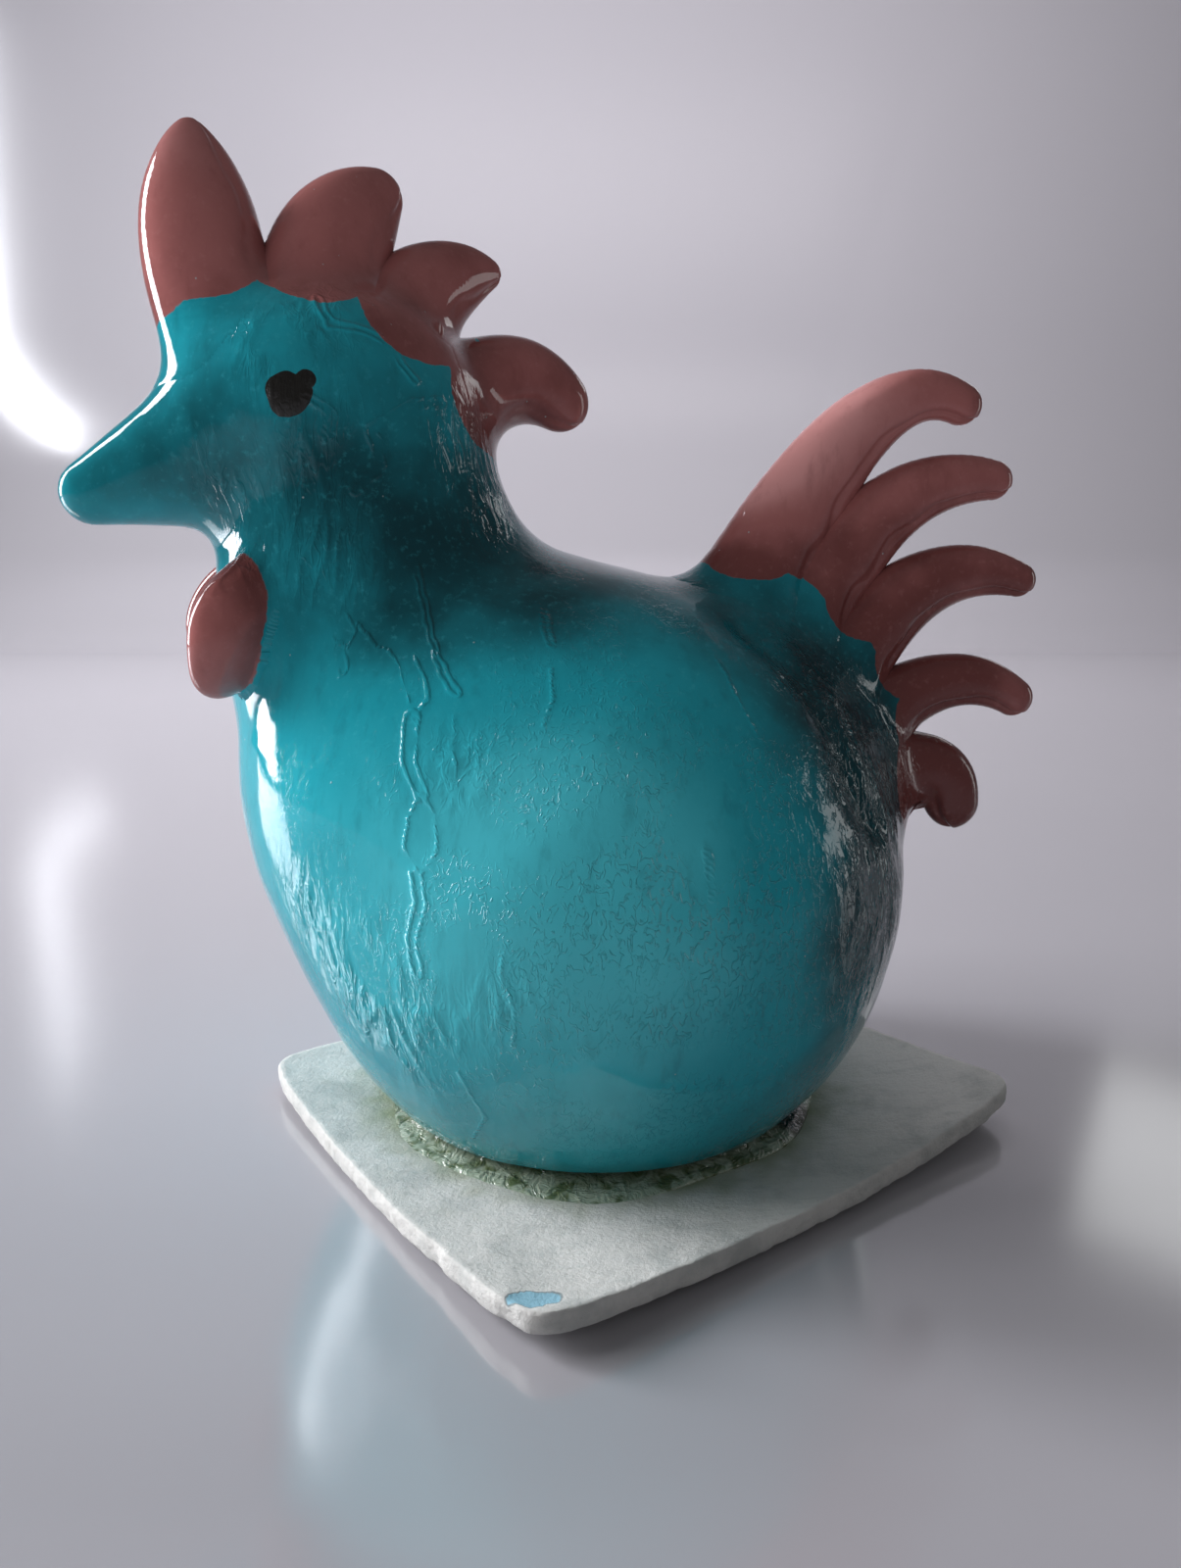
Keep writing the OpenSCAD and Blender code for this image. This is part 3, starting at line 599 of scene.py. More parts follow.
# A slow drift makes veins and wrinkles wind: for x, y and z, another part of the noise and its
# cell size
drifts = ((50, 9.0), (90, 9.0), (130, 14.0))


def path_distance(p, path):
    """Least distance from points to the straight stretches between a path's points."""
    best = np.full(p.shape[:-1], 1e9)
    for a, b in zip(path[:-1], path[1:]):
        t = np.clip(((p - a) @ (b - a)) / ((b - a) @ (b - a)), 0, 1)
        best = np.minimum(best, length(p - a - t[..., None] * (b - a)))
    return best


def vein_distance(p):
    """Least distance in mm to the veins as seen from the side, in the plane of x and z, and more
    where they thin out. The hen's other side has them too, shifted."""
    seen = p[..., ::2] + (p[..., 1:2] > 0) * other_side
    best = np.full(p.shape[:-1], vein_far)
    for half_gap, *path in veins:
        best = np.minimum(best, np.abs(path_distance(seen, np.array(path)) - half_gap))
    broken = smooth_step((noise(p + 5, break_cell) - break_from) / break_run)
    return best + ragged * np.abs(noise(p, ragged_cell)) + break_up * broken


def relief(p):
    """Height in mm of the hand-made surface over the smooth form, with how wrinkled it is and
    the distance to a vein. Slow lumps come first, then the veins and the combed wrinkles in
    clusters, which run along the zero lines of an upright-stretched noise."""
    height = sum(h * noise(p + 60 * k, size) for k, (h, size) in enumerate(lumps)) - sunk
    drift = np.stack([noise(p + part, size) for part, size in drifts], -1)
    shake = noise(p + 17, vein_shake_cell)[..., None]
    vein = vein_distance(p + vein_wind * drift + vein_shake * shake)
    away = p[..., None, :] - wrinkle_spots[:, :3]
    spots = (np.exp(-np.einsum("...i,...i->...", away, away) / (2 * wrinkle_spots[:, 3] ** 2))
             * wrinkle_spots[:, 4]).sum(-1)
    torn = smooth_step((noise(p + 23, torn_cell) - torn_from) / torn_run)
    combed = np.clip(spots * torn, 0, 1)
    wrinkle = noise(p + wrinkle_wind * drift, wrinkle_cell) / wrinkle_half
    mirrored = np.where([0, 1, 0], np.abs(p), p)
    crease = np.exp(-(path_distance(mirrored, crease_line) / crease_w) ** 2)
    height = (height - crease_depth * crease + vein_height * np.exp(-(vein / vein_half) ** 2)
              + wrinkle_height * np.exp(-wrinkle ** 2) * combed)
    return height, np.stack([combed, vein])


skin_offs = np.concatenate([np.linspace(180, split_off, low_rows + 1)[1:],
                            np.linspace(split_off, lean, side_rows + 1)[1:],
                            np.full(shoulder_rows + neck_rows, lean),
                            np.linspace(lean, 0, crown_rows + 1)[1:-1]])
skin_starts = np.concatenate([np.zeros(low_rows + side_rows),
                              np.linspace(0, split_start, shoulder_rows + 1)[1:],
                              np.linspace(split_start, axis_l, neck_rows + 1)[1:],
                              np.full(crown_rows - 1, axis_l)])
body_seam = low_rows - 1
neck_seam = body_seam + side_rows + shoulder_rows
skin_rays = ring_rays(skin_offs)
smooth_skin = surface_at(hen, globe_mid + skin_starts[:, None, None] * axis_u + 0 * skin_rays,
                         skin_rays, 0, globe_l)
skin_height, skin_marks = relief(smooth_skin)
raw_skin = smooth_skin + skin_height[..., None] * ring_normals(smooth_skin)
raw_skin[..., 2] = np.maximum(raw_skin[..., 2], foot_z)
skin = turned(raw_skin)
skin_normals = ring_normals(skin)


def core_wall(offs, gap):
    """Rings on the inside of the clay, a gap off the core: its egg, cut flat at the floor."""
    d = ring_rays(offs)
    rz = np.where(d[..., 2] < 0, globe_drop, globe_rise) - clay_t + gap
    level = (d[..., 0] ** 2 + d[..., 1] ** 2) / (core_r + gap) ** 2
    reach = 1 / np.sqrt(level + (d[..., 2] / rz) ** 2)
    floor = foot_z + clay_t - gap - globe_z
    reach = np.where(d[..., 2] * reach < floor, floor / np.minimum(d[..., 2], -1e-6), reach)
    return globe_mid + reach[..., None] * d


def painted_skin(name, first, last, before, after, poles=None):
    """Some of the skin's rings as a closed piece, with inner rings before and after them."""
    rings = np.concatenate([before, skin[first:last], after])
    normals = np.concatenate([np.repeat(skin_normals[first:first + 1], len(before), 0),
                              skin_normals[first:last],
                              np.repeat(skin_normals[last - 1:last], len(after), 0)])
    piece = closed_tube(name, rings, lacquered_paint, normals, poles)
    smooth = np.concatenate([before, smooth_skin[first:last], after])
    marks = np.stack([np.zeros(rings.shape[:2]), np.full(rings.shape[:2], vein_far)])
    marks[:, len(before):len(rings) - len(after)] = skin_marks[:, first:last]
    paint_marks(piece, smooth, marks)
    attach(piece, "root")
    return piece


# The wall's rings lean by these degrees off the hen's axis, from its top to its foot.
wall_top, wall_foot, upper_rings, lower_rings = 4.0, 176.0, 8, 7
no_rings = np.zeros((0, columns, 3))
lower_wall = core_wall(np.linspace(split_off, wall_foot, lower_rings), core_gap)
upper_wall = core_wall(np.linspace(wall_top, split_off, upper_rings), core_gap)
# The foot's middle touches the glue.
foot_poles = [[*skin[0, :, :2].mean(0), foot_z], lower_wall[-1].mean(0)]

lower_skin = painted_skin("lower_body_skin", 0, body_seam + 1, no_rings, lower_wall, foot_poles)
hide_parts("lower_bowl")
upper_skin = painted_skin("upper_body_skin", body_seam, neck_seam + 1, upper_wall, no_rings)
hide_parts("upper_bowl", "tail_ridge")
head_skin = painted_skin("neck_and_head_skin", neck_seam, len(skin), no_rings, no_rings)
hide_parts("neck_head", "beak")

# ---------------------------------------------------------------- comb
# Four lobes of clay pulled up from the crown and pressed flat between finger and thumb, the
# first the tallest and the last leaning back. They are painted pink down over their roots.
comb_l = 23.0
lobe_root_shares = np.array([[-0.66, 0.50], [-0.06, 0.52], [0.46, 0.38], [0.86, -0.10]])
lobe_bend_shares = np.array([[-0.07, 0.50], [0.08, 0.47], [0.18, 0.42], [0.43, 0.40]])
lobe_tip_shares = np.array([[-0.06, 0.865], [0.42, 0.68], [0.59, 0.42], [0.75, -0.01]])
lobe_width_shares = np.array([[0.265, 0.385, 0.06], [0.26, 0.38, 0.09], [0.245, 0.33, 0.055],
                              [0.26, 0.27, 0.13]])
lobe_rounds, lobe_fillet, lobe_groove = (1.15, 0.6), 5.0, 0.22
ball_count, tip_widths, tip_share_kept = 28, 1.3, 0.2
# Rows of rays round a horn's tip, along its side and through its skirt, how many rays a row has,
# where the lowest row starts, how far the skirt's lean back, how far they reach, and how finely
tip_rows, flank_rows, skirt_rows, horn_sides = 26, 70, 44, 144
low_share, skirt_lean, reach_share, horn_steps = 0.10, 60.0, 1.15, 15
skirt_sink, normal_step = 0.02, 0.05
# How deep a skirt is buried, and how far from the horn that starts, as a share of its fillet
bury_depth, bury_from, bury_run = 0.35, 0.68, 0.9
# Where a horn stands bare of the hen, and how much smoother it is there
bare_from, bare_run, bare_smooth = 0.4, 2.5, 0.8
# The groove: how far round from the underside it runs, and the web of clay between the two
fold_turn, fold_half_turn, fold_sway, fold_cell = math.radians(50), math.radians(9), 0.35, 5.0
web_share, web_run = 0.45, 0.3


def ball_chain(root, knee, tip, widths, rounds):
    """A horn of clay as a chain of balls: places along the bent line root, knee, tip, with half
    widths bent the same way, a share that squeezes them sideways, and the way on."""
    end = 1 - min(tip_widths * widths[2] / length(tip - root), 1) * (1 - tip_share_kept)
    s = np.linspace(0, end, ball_count + 1)
    way = mix(knee - root, tip - knee, s[:, None])
    way /= length(way)[:, None]
    return bend(root, knee, tip, s[:, None]), bend(*widths, s), mix(*rounds, s), way


def chain_distance(p, chain):
    """Distance to a horn: the least over the cones between its balls, squeezed sideways."""
    mid, w, flat, _ = chain
    best = np.full(p.shape[:-1], 1e9)
    for k in range(ball_count):
        squeeze = np.array([1, 2 / (flat[k] + flat[k + 1]), 1])
        q, run = (p - mid[k]) * squeeze, (mid[k + 1] - mid[k]) * squeeze
        t = np.clip((q @ run) / (run @ run), 0, 1)
        best = np.minimum(best, length(q - t[..., None] * run) - mix(w[k], w[k + 1], t))
    return best


def field_normals(field, p):
    """Outward normals at points, from how a distance field changes across a small step."""
    n = np.stack([field(p + step) - field(p - step) for step in normal_step * np.eye(3)], -1)
    return n / np.maximum(length(n), 1e-9)[..., None]


def horn_rings(chain, fillet):
    """Rings of a horn from its tip to a skirt that runs out under the hen's skin, and its
    distance field. Rays fan forward from the last ball, stand square to the middle line along
    the horn, and fan back from a low ball. Each ends where the horn and the hen, joined with a
    fillet, end."""
    mid, w, flat, way = chain
    s = np.concatenate([np.ones(tip_rows), np.linspace(1, low_share, flank_rows),
                        np.full(skirt_rows, low_share)])
    tilt = np.concatenate([(np.arange(tip_rows) + 0.5) / tip_rows * 90, np.full(flank_rows, 90.0),
                           90 + (np.arange(skirt_rows) + 1) / skirt_rows * skirt_lean])
    k = np.minimum((s * ball_count).astype(int), ball_count - 1)
    f = (s * ball_count - k)[:, None]
    o, d = mix(mid[k], mid[k + 1], f), mix(way[k], way[k + 1], f)
    squeeze = mix(flat[k], flat[k + 1], f[:, 0])[:, None, None]
    up = np.stack([-d[:, 2], 0 * d[:, 1], d[:, 0]], -1)
    up /= length(up)[:, None]
    side = np.cross(d, up)
    turn = (2 * math.pi * np.arange(horn_sides) / horn_sides)[None, :, None]
    tilt = np.radians(tilt)[:, None, None]
    ray = np.cos(tilt) * d[:, None] + np.sin(tilt) * (
        np.cos(turn) * up[:, None] - squeeze * np.sin(turn) * side[:, None])
    ray /= length(ray)[..., None]
    o = np.repeat(o[:, None], horn_sides, 1)

    def joined(p):
        return smooth_min(hen(p) + skirt_sink, chain_distance(p, chain), fillet, 3)

    return surface_at(joined, o, ray, 0, w.max() * reach_share + fillet, horn_steps), joined


def horn_piece(name, chain, fillet, node, groove=0.0, clear=pink_clear):
    """A pink piece: its rings with the hand-made relief, turned with the head, and painted. A
    groove runs along each side below, where the fingers that drew the horn out met."""
    smooth, joined = horn_rings(chain, fillet)
    bare = smooth_step((hen(smooth) - bare_from) / bare_run)
    height, marks = relief(smooth)
    marks[0] *= 1 - bare_smooth * bare
    turn = 2 * math.pi * np.arange(horn_sides) / horn_sides
    under = np.abs(turn - math.pi) + fold_sway * noise(smooth + 31, fold_cell)
    folded = (np.exp(-((under - fold_turn) / fold_half_turn) ** 2)
              + web_share * smooth_step((fold_turn - under) / web_run))
    sunk_in = smooth_step((chain_distance(smooth, chain) - bury_from * fillet) / bury_run)
    height = height - groove * bare * folded - bury_depth * sunk_in
    rings = turned(smooth + height[..., None] * field_normals(joined, smooth))[::-1]
    piece = closed_tube(name, rings, lacquered_paint)
    paint_marks(piece, smooth[::-1], marks[:, ::-1], clear)
    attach(piece, "root")
    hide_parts(node)


def at_shares(start, size, shares):
    """A place at shares of a size along x and z from a start."""
    return start + size * np.array([shares[0], 0, shares[1]])


for i in range(4):
    root = at_shares(head_mid, head_r, lobe_root_shares[i])
    chain = ball_chain(root, at_shares(root, comb_l, lobe_bend_shares[i]),
                       at_shares(root, comb_l, lobe_tip_shares[i]),
                       comb_l * lobe_width_shares[i], lobe_rounds)
    horn_piece(f"comb_lobe_skin_{i + 1}", chain, lobe_fillet, f"comb_lobe_{i + 1}", lobe_groove)

# ---------------------------------------------------------------- wattles
# Two drops of clay pressed onto the throat under the beak, left and right of its middle, and
# painted pink all over.
wattle_up, wattle_l, wattle_w, wattle_t = 34.6, 11.4, 9.8, 6.6
wattle_angle = math.radians(34)
wattle_drops, wattle_outs = (0.0, 0.48, 1.0), (0.98, 1.38, 1.1)
wattle_width_shares = np.array([0.38, 0.62, 0.37])
wattle_fillet, wattle_clear = 1.6, 0.5

for side, name in ((-1, "left"), (1, "right")):
    spots = [place(neck_out + out * neck_d / 2 * math.cos(wattle_angle),
                   wattle_up - drop * wattle_l,
                   side * out * neck_d / 2 * math.sin(wattle_angle))
             for drop, out in zip(wattle_drops, wattle_outs)]
    chain = ball_chain(*spots, wattle_w * wattle_width_shares, (wattle_t / wattle_w,) * 2)
    horn_piece(f"wattle_skin_{name}", chain, wattle_fillet, f"wattle_{name}", clear=wattle_clear)

# ---------------------------------------------------------------- eyes
# Each eye is a round dab of black paint from a loaded brush, with a second, small one where the
# brush left it at its upper back. The right eye mirrors the left.
eye_d, eye_proud, eye_sunk = 4.5, 0.28, 0.45
eye_mid = place(head_out + head_l * 0.15, head_up - head_h * 0.05)
small_out, small_r, small_way = 2.35, 1.0, math.radians(40)
# The rim dips under the skin by a little, its outline wobbles, and its top is lumpy.
rim_dip, eye_lumps, eye_lump_cell = 0.10, 0.07, 1.1
eye_wobbles = ((0.05, 3, 1), (0.03, 5, 0))
eye_sides, back_rows, front_rows, inmost_share = 96, 4, 26, 0.04

# Black craft paint, semi-gloss where it lies thick, with brush lines 0.55 mm apart.
eye_paint, tree = new_material("black_paint_dab")
here = add_node(tree, "ShaderNodeTexCoord").outputs["Object"]
smear = add_node(tree, "ShaderNodeTexNoise", {"Vector": here, "Scale": per_mm(0.7),
                                              "Detail": 4.0, "Distortion": 1.0})
colour = lay_over(tree, linear("#15130f"), (linear("#2a2c29"), smear, 0.55, 0.75, 0.5))
brushed = add_node(tree, "ShaderNodeMapping", {"Vector": here, "Scale": (1.0, 1.0, 0.25)})
brushed = add_node(tree, "ShaderNodeTexNoise",
                   {"Vector": brushed, "Scale": per_mm(0.55), "Detail": 3.0})
bump = add_node(tree, "ShaderNodeBump", {"Height": smear, "Distance": 0.10 * MM})
bump = add_node(tree, "ShaderNodeBump",
                {"Height": brushed, "Distance": 0.16 * MM, "Normal": bump})
surface = add_node(tree, "ShaderNodeBsdfPrincipled",
                   {"Base Color": colour, "Roughness": 0.55, "Specular IOR Level": 0.3,
                    "Normal": bump, "Coat Weight": 0.8, "Coat Roughness": 0.12,
                    "Coat Normal": bump})
add_node(tree, "ShaderNodeOutputMaterial", {"Surface": surface})


def eye_dab(side):
    """Rings of a dab: its reach is a wobbly circle or the small one beside it, whichever is
    further, its height a low dome whose rim dips under the skin, and its back a shallow dish in
    the clay."""
    a = 2 * math.pi * np.arange(eye_sides) / eye_sides
    t = np.concatenate([np.linspace(0.3, 0.9, back_rows),
                        np.linspace(1, inmost_share, front_rows)])
    off = a - small_way
    half = np.sqrt(np.maximum(small_r ** 2 - (small_out * np.sin(off)) ** 2, 0))
    small = np.where((half > 0) & (np.cos(off) > 0), small_out * np.cos(off) + half, 0)
    wobble = sum(high * np.sin(count * a + start) for high, count, start in eye_wobbles)
    reach = np.maximum(eye_d / 2 * (1 + wobble), small)
    x = eye_mid[0] + t[:, None] * reach * np.cos(a)
    z = eye_mid[2] + t[:, None] * reach * np.sin(a)
    o = np.stack([x, 0 * x, z], -1)
    d = np.zeros_like(o)
    d[..., 1] = side
    on_skin = surface_at(hen, o, d, 0, head_w)
    front = np.arange(len(t)) >= back_rows
    dome = np.where(front, eye_proud * (1 - t ** 3) - rim_dip * t ** 12, -eye_sunk)[:, None]
    lumpy = front[:, None] * eye_lumps * noise(on_skin, eye_lump_cell)
    return on_skin + (relief(on_skin)[0] + dome + lumpy)[..., None] * d


for side, name in ((-1, "left"), (1, "right")):
    rings = turned(eye_dab(side))
    if side < 0:
        rings = rings[:, ::-1]
    dab = closed_tube(f"eye_dab_{name}", rings, eye_paint)
    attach(dab, "root")
    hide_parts(f"eye_{name}")

# ---------------------------------------------------------------- tail
# Five tapered feathers of clay set side by side along the ridge behind the body, fanned from
# upright to level, with a web of clay worked up between their roots and painted pink.
feather_l, feather_round = 32.0, 0.78
feather_angles = np.radians([61, 48.5, 37, 27.5, 18.5])
feather_root_r = core_r + core_gap + clay_t * 0.35
feather_bend_shares = [[0.42, 0.97], [0.24, 0.70], [0.23, 0.59], [0.31, 0.35], [0.31, 0.15]]
feather_tip_shares = [[0.785, 0.67], [0.73, 0.575], [0.69, 0.375], [0.60, 0.08], [0.27, -0.26]]
feather_width_shares = np.array([[0.235, 0.11, 0.08], [0.20, 0.145, 0.07], [0.19, 0.15, 0.062],
                                 [0.16, 0.125, 0.072], [0.155, 0.145, 0.088]])
feather_fillet, feather_groove = 4.2, 0.42

for i, angle in enumerate(feather_angles):
    out_way = np.array([math.cos(angle), 0, math.sin(angle)])
    on_body = globe_mid + globe_r * out_way
    chain = ball_chain(globe_mid + feather_root_r * out_way,
                       at_shares(on_body, feather_l, feather_bend_shares[i]),
                       at_shares(on_body, feather_l, feather_tip_shares[i]),
                       feather_l * feather_width_shares[i], (feather_round,) * 2)
    horn_piece(f"tail_feather_skin_{i + 1}", chain, feather_fillet, f"tail_feather_{i + 1}",
               feather_groove)

# ---------------------------------------------------------------- slab
# The base is a slab of clay rolled out by hand and cut with a knife: its corners lifted as it
# dried, its edges are torn, and it is brushed thinly with white that lets the clay show.
slab_l, slab_w = 73.0, 65.0
curl_front, curl_right, curl_left, curl_back = 2.4, 3.4, 1.8, 1.6
slab_turn = math.radians(36.2)
slab_mid = np.array([globe_l * 0.06, -globe_w * 0.055, 0])
flat_share, curl_power, corner_share = 0.45, 1.3, 0.03
rub_depth, edge_soft = slab_t * 0.1, slab_t * 0.12
slab_sides, slab_rows, edge_rows = 640, 56, 9
corner_power, inmost_ring, ring_power = 16, 0.05, 0.8
# The torn rim: how far in it shows, its raggedness, and deeper bites out of it
rim_w, edge_rough, edge_waves = 1.4, 0.42, ((1, (3.0, 3.0, 1.6)), (0.8, (0.9, 0.9, 0.6)))
edge_share, edge_base, bite_cell, bite_from, bite_share = 0.5, 0.35, 5.0, 0.16, 1.2
face_rough, face_waves = 0.11, ((1, 6.0), (0.6, 2.2), (0.35, 0.9))
face_base, under_share = 0.55, 0.3


def slab_lift(u, v):
    """Height of the slab's underside at u and v, from -1 to 1: its corners curl up."""
    q = np.clip((np.sqrt((u * u + v * v) / 2) - flat_share) / (1 - flat_share), 0, 1)
    front = mix(curl_front, curl_right, (u + 1) / 2)
    back = mix(curl_left, curl_back, (u + 1) / 2)
    return (mix(front, back, (v + 1) / 2) + rub_depth) * q ** curl_power - rub_depth


def on_slab(u, v, up, inset=0.0):
    """A place on the slab: u and v across it, up above its underside, inset from its edge."""
    pull = 1 - corner_share * u * u * v * v
    x, y = u * pull * (slab_l / 2 - inset), v * pull * (slab_w / 2 - inset)
    c, s = math.cos(slab_turn), math.sin(slab_turn)
    return np.stack([x * c - y * s, x * s + y * c, slab_lift(u, v) + up], -1) + slab_mid


chip_at = on_slab(np.float64(-0.925), np.float64(-0.875), slab_t)
chip_reach, chip_shape, chip_deep = 1.5, (0.55, 1.0, 1.0), 0.16
chip_wave, chip_cell, chip_from, chip_run = 0.25, 1.2, 0.4, 0.2


def chip_share(p):
    """Where the white has chipped off one corner: a long round spot with a torn outline, which
    the edge of the chip crosses at 0.5."""
    away = length((p - chip_at) * chip_shape)
    return np.exp(-(away / chip_reach) ** 2) + chip_wave * noise(p, chip_cell)


def slab_rings():
    """Rings from the middle of the underside out to the edge, round it, and in over the top. A
    ring is a square of u and v; the edge rows bulge outwards, and torn clay pits them."""
    a = -2 * math.pi * (np.arange(slab_sides) + 0.5) / slab_sides
    square = np.stack([np.cos(a), np.sin(a)], -1)
    square /= (np.abs(square) ** corner_power).sum(-1, keepdims=True) ** (1 / corner_power)
    out_run = np.linspace(inmost_ring, 1, slab_rows) ** ring_power
    round_turn = np.radians(np.linspace(-90, 90, edge_rows + 2)[1:-1])
    share = np.concatenate([out_run, np.ones(edge_rows), out_run[::-1]])
    inset = np.pad(edge_soft * (1 - np.cos(round_turn)), slab_rows, constant_values=edge_soft)
    up = np.pad(slab_t / 2 * (1 + np.sin(round_turn)), slab_rows, constant_values=(0, slab_t))
    u, v = share[:, None] * square[:, 0], share[:, None] * square[:, 1]
    p = on_slab(u, v, up[:, None], inset[:, None])
    rim = np.exp(-((1 - share) * slab_l / 2 / rim_w) ** 2)[:, None]
    torn = edge_rough * (waves(p, edge_waves) * edge_share + edge_base)
    bite = bite_share * np.maximum(noise(p * [1, 1, 0] + 9, bite_cell) - bite_from, 0)
    inward = (slab_mid - p) * [1, 1, 0]
    inward /= np.maximum(length(inward), 1)[..., None]
    p = p + (rim * (torn + bite))[..., None] * inward
    top = (up > slab_t * 0.9)[:, None]
    face = waves(p, face_waves)
    p[..., 2] += face_rough * np.where(top, face - face_base, -under_share * face)
    chipped = smooth_step((chip_share(p) - chip_from) / chip_run)
    p[..., 2] -= np.where(top, chip_deep * chipped, 0)
    p[..., 2] = np.maximum(p[..., 2], 0)
    return p


slab_white, slab_shade, slab_clay = linear("#dcdbd6"), linear("#b9bcb8"), linear("#9a978c")
glue_stain, chip_rim, chip_blue = linear("#89936c"), linear("#5d7176"), linear("#93c1d2")
stain_reach, stain_wave, stain_cell = 4.6, 0.35, 2.6

# Matt white brushed thinly over air-dried clay: cloudy patches of 7 mm, brush lines 0.9 mm
# apart, and open pores of 0.6 mm. Glue stained it round the foot.
whitewash, tree = new_material("white_wash_on_raw_clay")
here = add_node(tree, "ShaderNodeTexCoord").outputs["Object"]
stain, chip = (add_node(tree, "ShaderNodeAttribute", attribute_name=name).outputs["Fac"]
               for name in ("stain", "chip"))
brush = add_node(tree, "ShaderNodeMapping", {"Vector": here, "Rotation": (0.0, 0.0, 0.5),
                                             "Scale": (0.2, 1.0, 1.0)})
patch, pore, brush = (
    add_node(tree, "ShaderNodeTexNoise", {"Vector": at, "Scale": per_mm(size), "Detail": detail,
                                          "Roughness": rough})
    for at, size, detail, rough in ((here, 7, 6.0, 0.6), (here, 0.6, 6.0, 0.7),
                                    (brush, 0.9, 4.0, 0.5)))
colour = lay_over(tree, slab_white, (slab_shade, patch, 0.44, 0.70, 0.8),
                  (slab_shade, brush, 0.52, 0.76, 0.35), (slab_clay, pore, 0.60, 0.74, 0.5),
                  (glue_stain, stain, 0.12, 1.0, 0.9), (chip_rim, chip, 0.40, 0.45, 0.7),
                  (chip_blue, chip, 0.47, 0.52, 0.95))
bump = add_node(tree, "ShaderNodeBump", {"Height": pore, "Distance": 0.18 * MM})
bump = add_node(tree, "ShaderNodeBump", {"Height": brush, "Distance": 0.07 * MM, "Normal": bump})
surface = add_node(tree, "ShaderNodeBsdfPrincipled",
                   {"Base Color": colour, "Roughness": 0.78, "IOR": 1.45, "Normal": bump})
add_node(tree, "ShaderNodeOutputMaterial", {"Surface": surface})

rings = slab_rings()
slab = closed_tube("slab_of_clay", rings, whitewash)
foot_gap = np.maximum(length(rings[..., :2]) - foot_d / 2, 0)
stained = np.exp(-foot_gap / stain_reach) + stain_wave * noise(rings, stain_cell)
give_attributes(slab, stain=stained, chip=chip_share(rings))
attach(slab, "root")
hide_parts("base_slab")

# ---------------------------------------------------------------- glue
# The hen stands in a thick bead of glue that squeezed out round her foot, pulled into strings
# and waves as it set, clear olive over the clay, darker olive towards the foot where it is thicker
# and where shade under the belly is painted, and almost black where it pooled.
glue_spread, glue_climb = 4.0, glue_film * 4
glue_wave_shares, glue_waves, glue_wave_start = (0.62, 0.22, 0.16), (3, 7), math.radians(40)
glue_sides, under_rows, glue_rows = 480, 11, 40
glue_bed, glue_in, glue_lip = 0.15, 1.6, 0.42
fillet_share, fillet_from, ripple_share, rise_rate, pool_rate = 0.85, 0.35, 0.9, 4, 3
glue_ripples = ((0.34, 3.0), (0.22, 1.4))
pool_way, pool_reach, pool_up = math.radians(-28), 0.16, 0.7


def slab_reach(a):
    """How far the slab reaches from the hen's upright line in the direction a: to the nearer of
    the two edges that this way crosses."""
    along = np.array([math.cos(slab_turn), math.sin(slab_turn)])
    across = np.array([-along[1], along[0]])
    du = np.cos(a) * along[0] + np.sin(a) * along[1]
    dv = np.cos(a) * across[0] + np.sin(a) * across[1]
    return np.minimum((slab_l / 2 + np.sign(du) * (slab_mid[:2] @ along)) / np.abs(du),
                      (slab_w / 2 + np.sign(dv) * (slab_mid[:2] @ across)) / np.abs(dv))


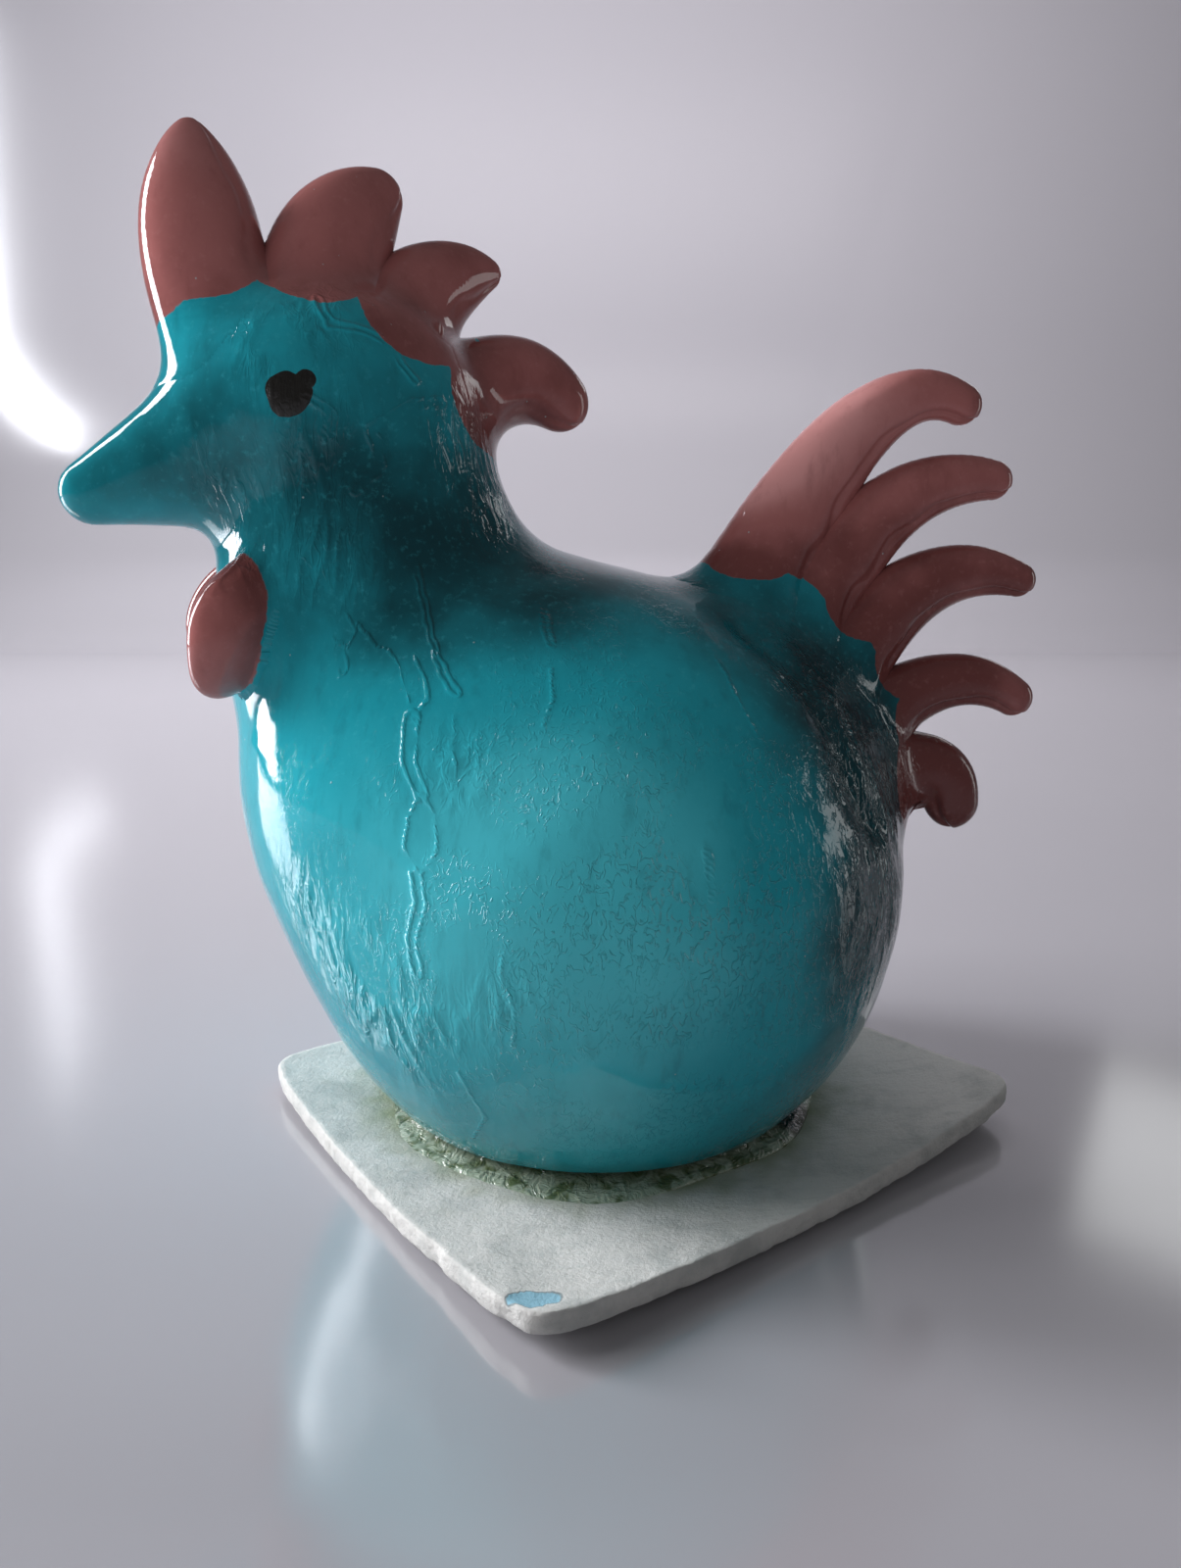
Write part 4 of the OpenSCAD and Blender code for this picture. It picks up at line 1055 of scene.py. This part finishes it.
def glue_rings():
    """Rings from under the foot out along the slab to the rim, and back in over the top. The
    rim is a circle with two waves, the top falls to it from a fillet up the clay's side."""
    a = -2 * math.pi * np.arange(glue_sides) / glue_sides
    wave = (glue_wave_shares[0] + glue_wave_shares[1] * np.sin(glue_waves[0] * a + glue_wave_start)
            + glue_wave_shares[2] * np.sin(glue_waves[1] * a))
    rim = np.minimum(foot_d / 2 + glue_spread * wave, slab_reach(a) - slab_t / 2)
    inner = foot_d / 2 - glue_in
    t = np.concatenate([np.linspace(0, 1, under_rows + 1)[:-1], np.linspace(1, 0, glue_rows)])
    r = inner + (rim - inner) * t[:, None]
    x, y = r * np.cos(a), r * np.sin(a)
    p = np.stack([x, y, 0 * x + slab_t - rub_depth - glue_bed], -1)
    top = (np.arange(len(r)) >= under_rows)[:, None]
    edge_t = np.clip((rim - r) / (rim - inner), 0, 1)
    pooled = np.exp(-(np.angle(np.exp(1j * (a - pool_way))) / pool_reach) ** 2)
    rise = np.clip(edge_t * rise_rate, 0, 1)
    climb = np.clip((edge_t - fillet_from) / (1 - fillet_from), 0, 1) ** 2
    bulge = glue_lip * np.sqrt(rise) + glue_climb * fillet_share * climb
    up = (bulge * (1 + ripple_share * waves(p, glue_ripples) * rise)
          + pool_up * pooled * np.clip(edge_t * pool_rate, 0, 1) * (1 - edge_t))
    p[..., 2] += np.where(top, glue_bed + np.maximum(up, 0), 0)
    return p, pooled + 0 * x, edge_t


# Clear craft glue, glossy as it set, with strings and waves about 2 mm across.
glue_clear, tree = new_material("set_clear_glue")
here = add_node(tree, "ShaderNodeTexCoord").outputs["Object"]
pool, thick = (add_node(tree, "ShaderNodeAttribute", attribute_name=name).outputs["Fac"]
               for name in ("pool", "thick"))
murk, strings = (
    add_node(tree, "ShaderNodeTexNoise", {"Vector": here, "Scale": per_mm(size),
                                          "Detail": detail, "Distortion": twist})
    for size, detail, twist in ((2.2, 4.0, 0.8), (1.6, 3.0, 1.8)))
# Darker olive towards the foot stands partly for thicker glue and partly for painted shade under
# the belly.
colour = lay_over(tree, linear("#a9b49f"), (linear("#626e49"), murk, 0.44, 0.66, 1.0),
                  (linear("#47502f"), thick, 0.45, 0.85, 0.8),
                  (linear("#231d14"), pool, 0.3, 0.8, 0.95))
bump = add_node(tree, "ShaderNodeBump", {"Height": strings, "Distance": 0.5 * MM})
surface = add_node(tree, "ShaderNodeBsdfPrincipled",
                   {"Base Color": colour, "Roughness": 0.12, "IOR": 1.5, "Normal": bump,
                    "Coat Weight": 1.0, "Coat Roughness": 0.03, "Coat Normal": bump})
add_node(tree, "ShaderNodeOutputMaterial", {"Surface": surface})

rings, pooled, thickness = glue_rings()
glue = closed_tube("glue_bead_round_foot", rings, glue_clear)
give_attributes(glue, pool=pooled, thick=thickness)
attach(glue, "root")
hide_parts("glue_bead")
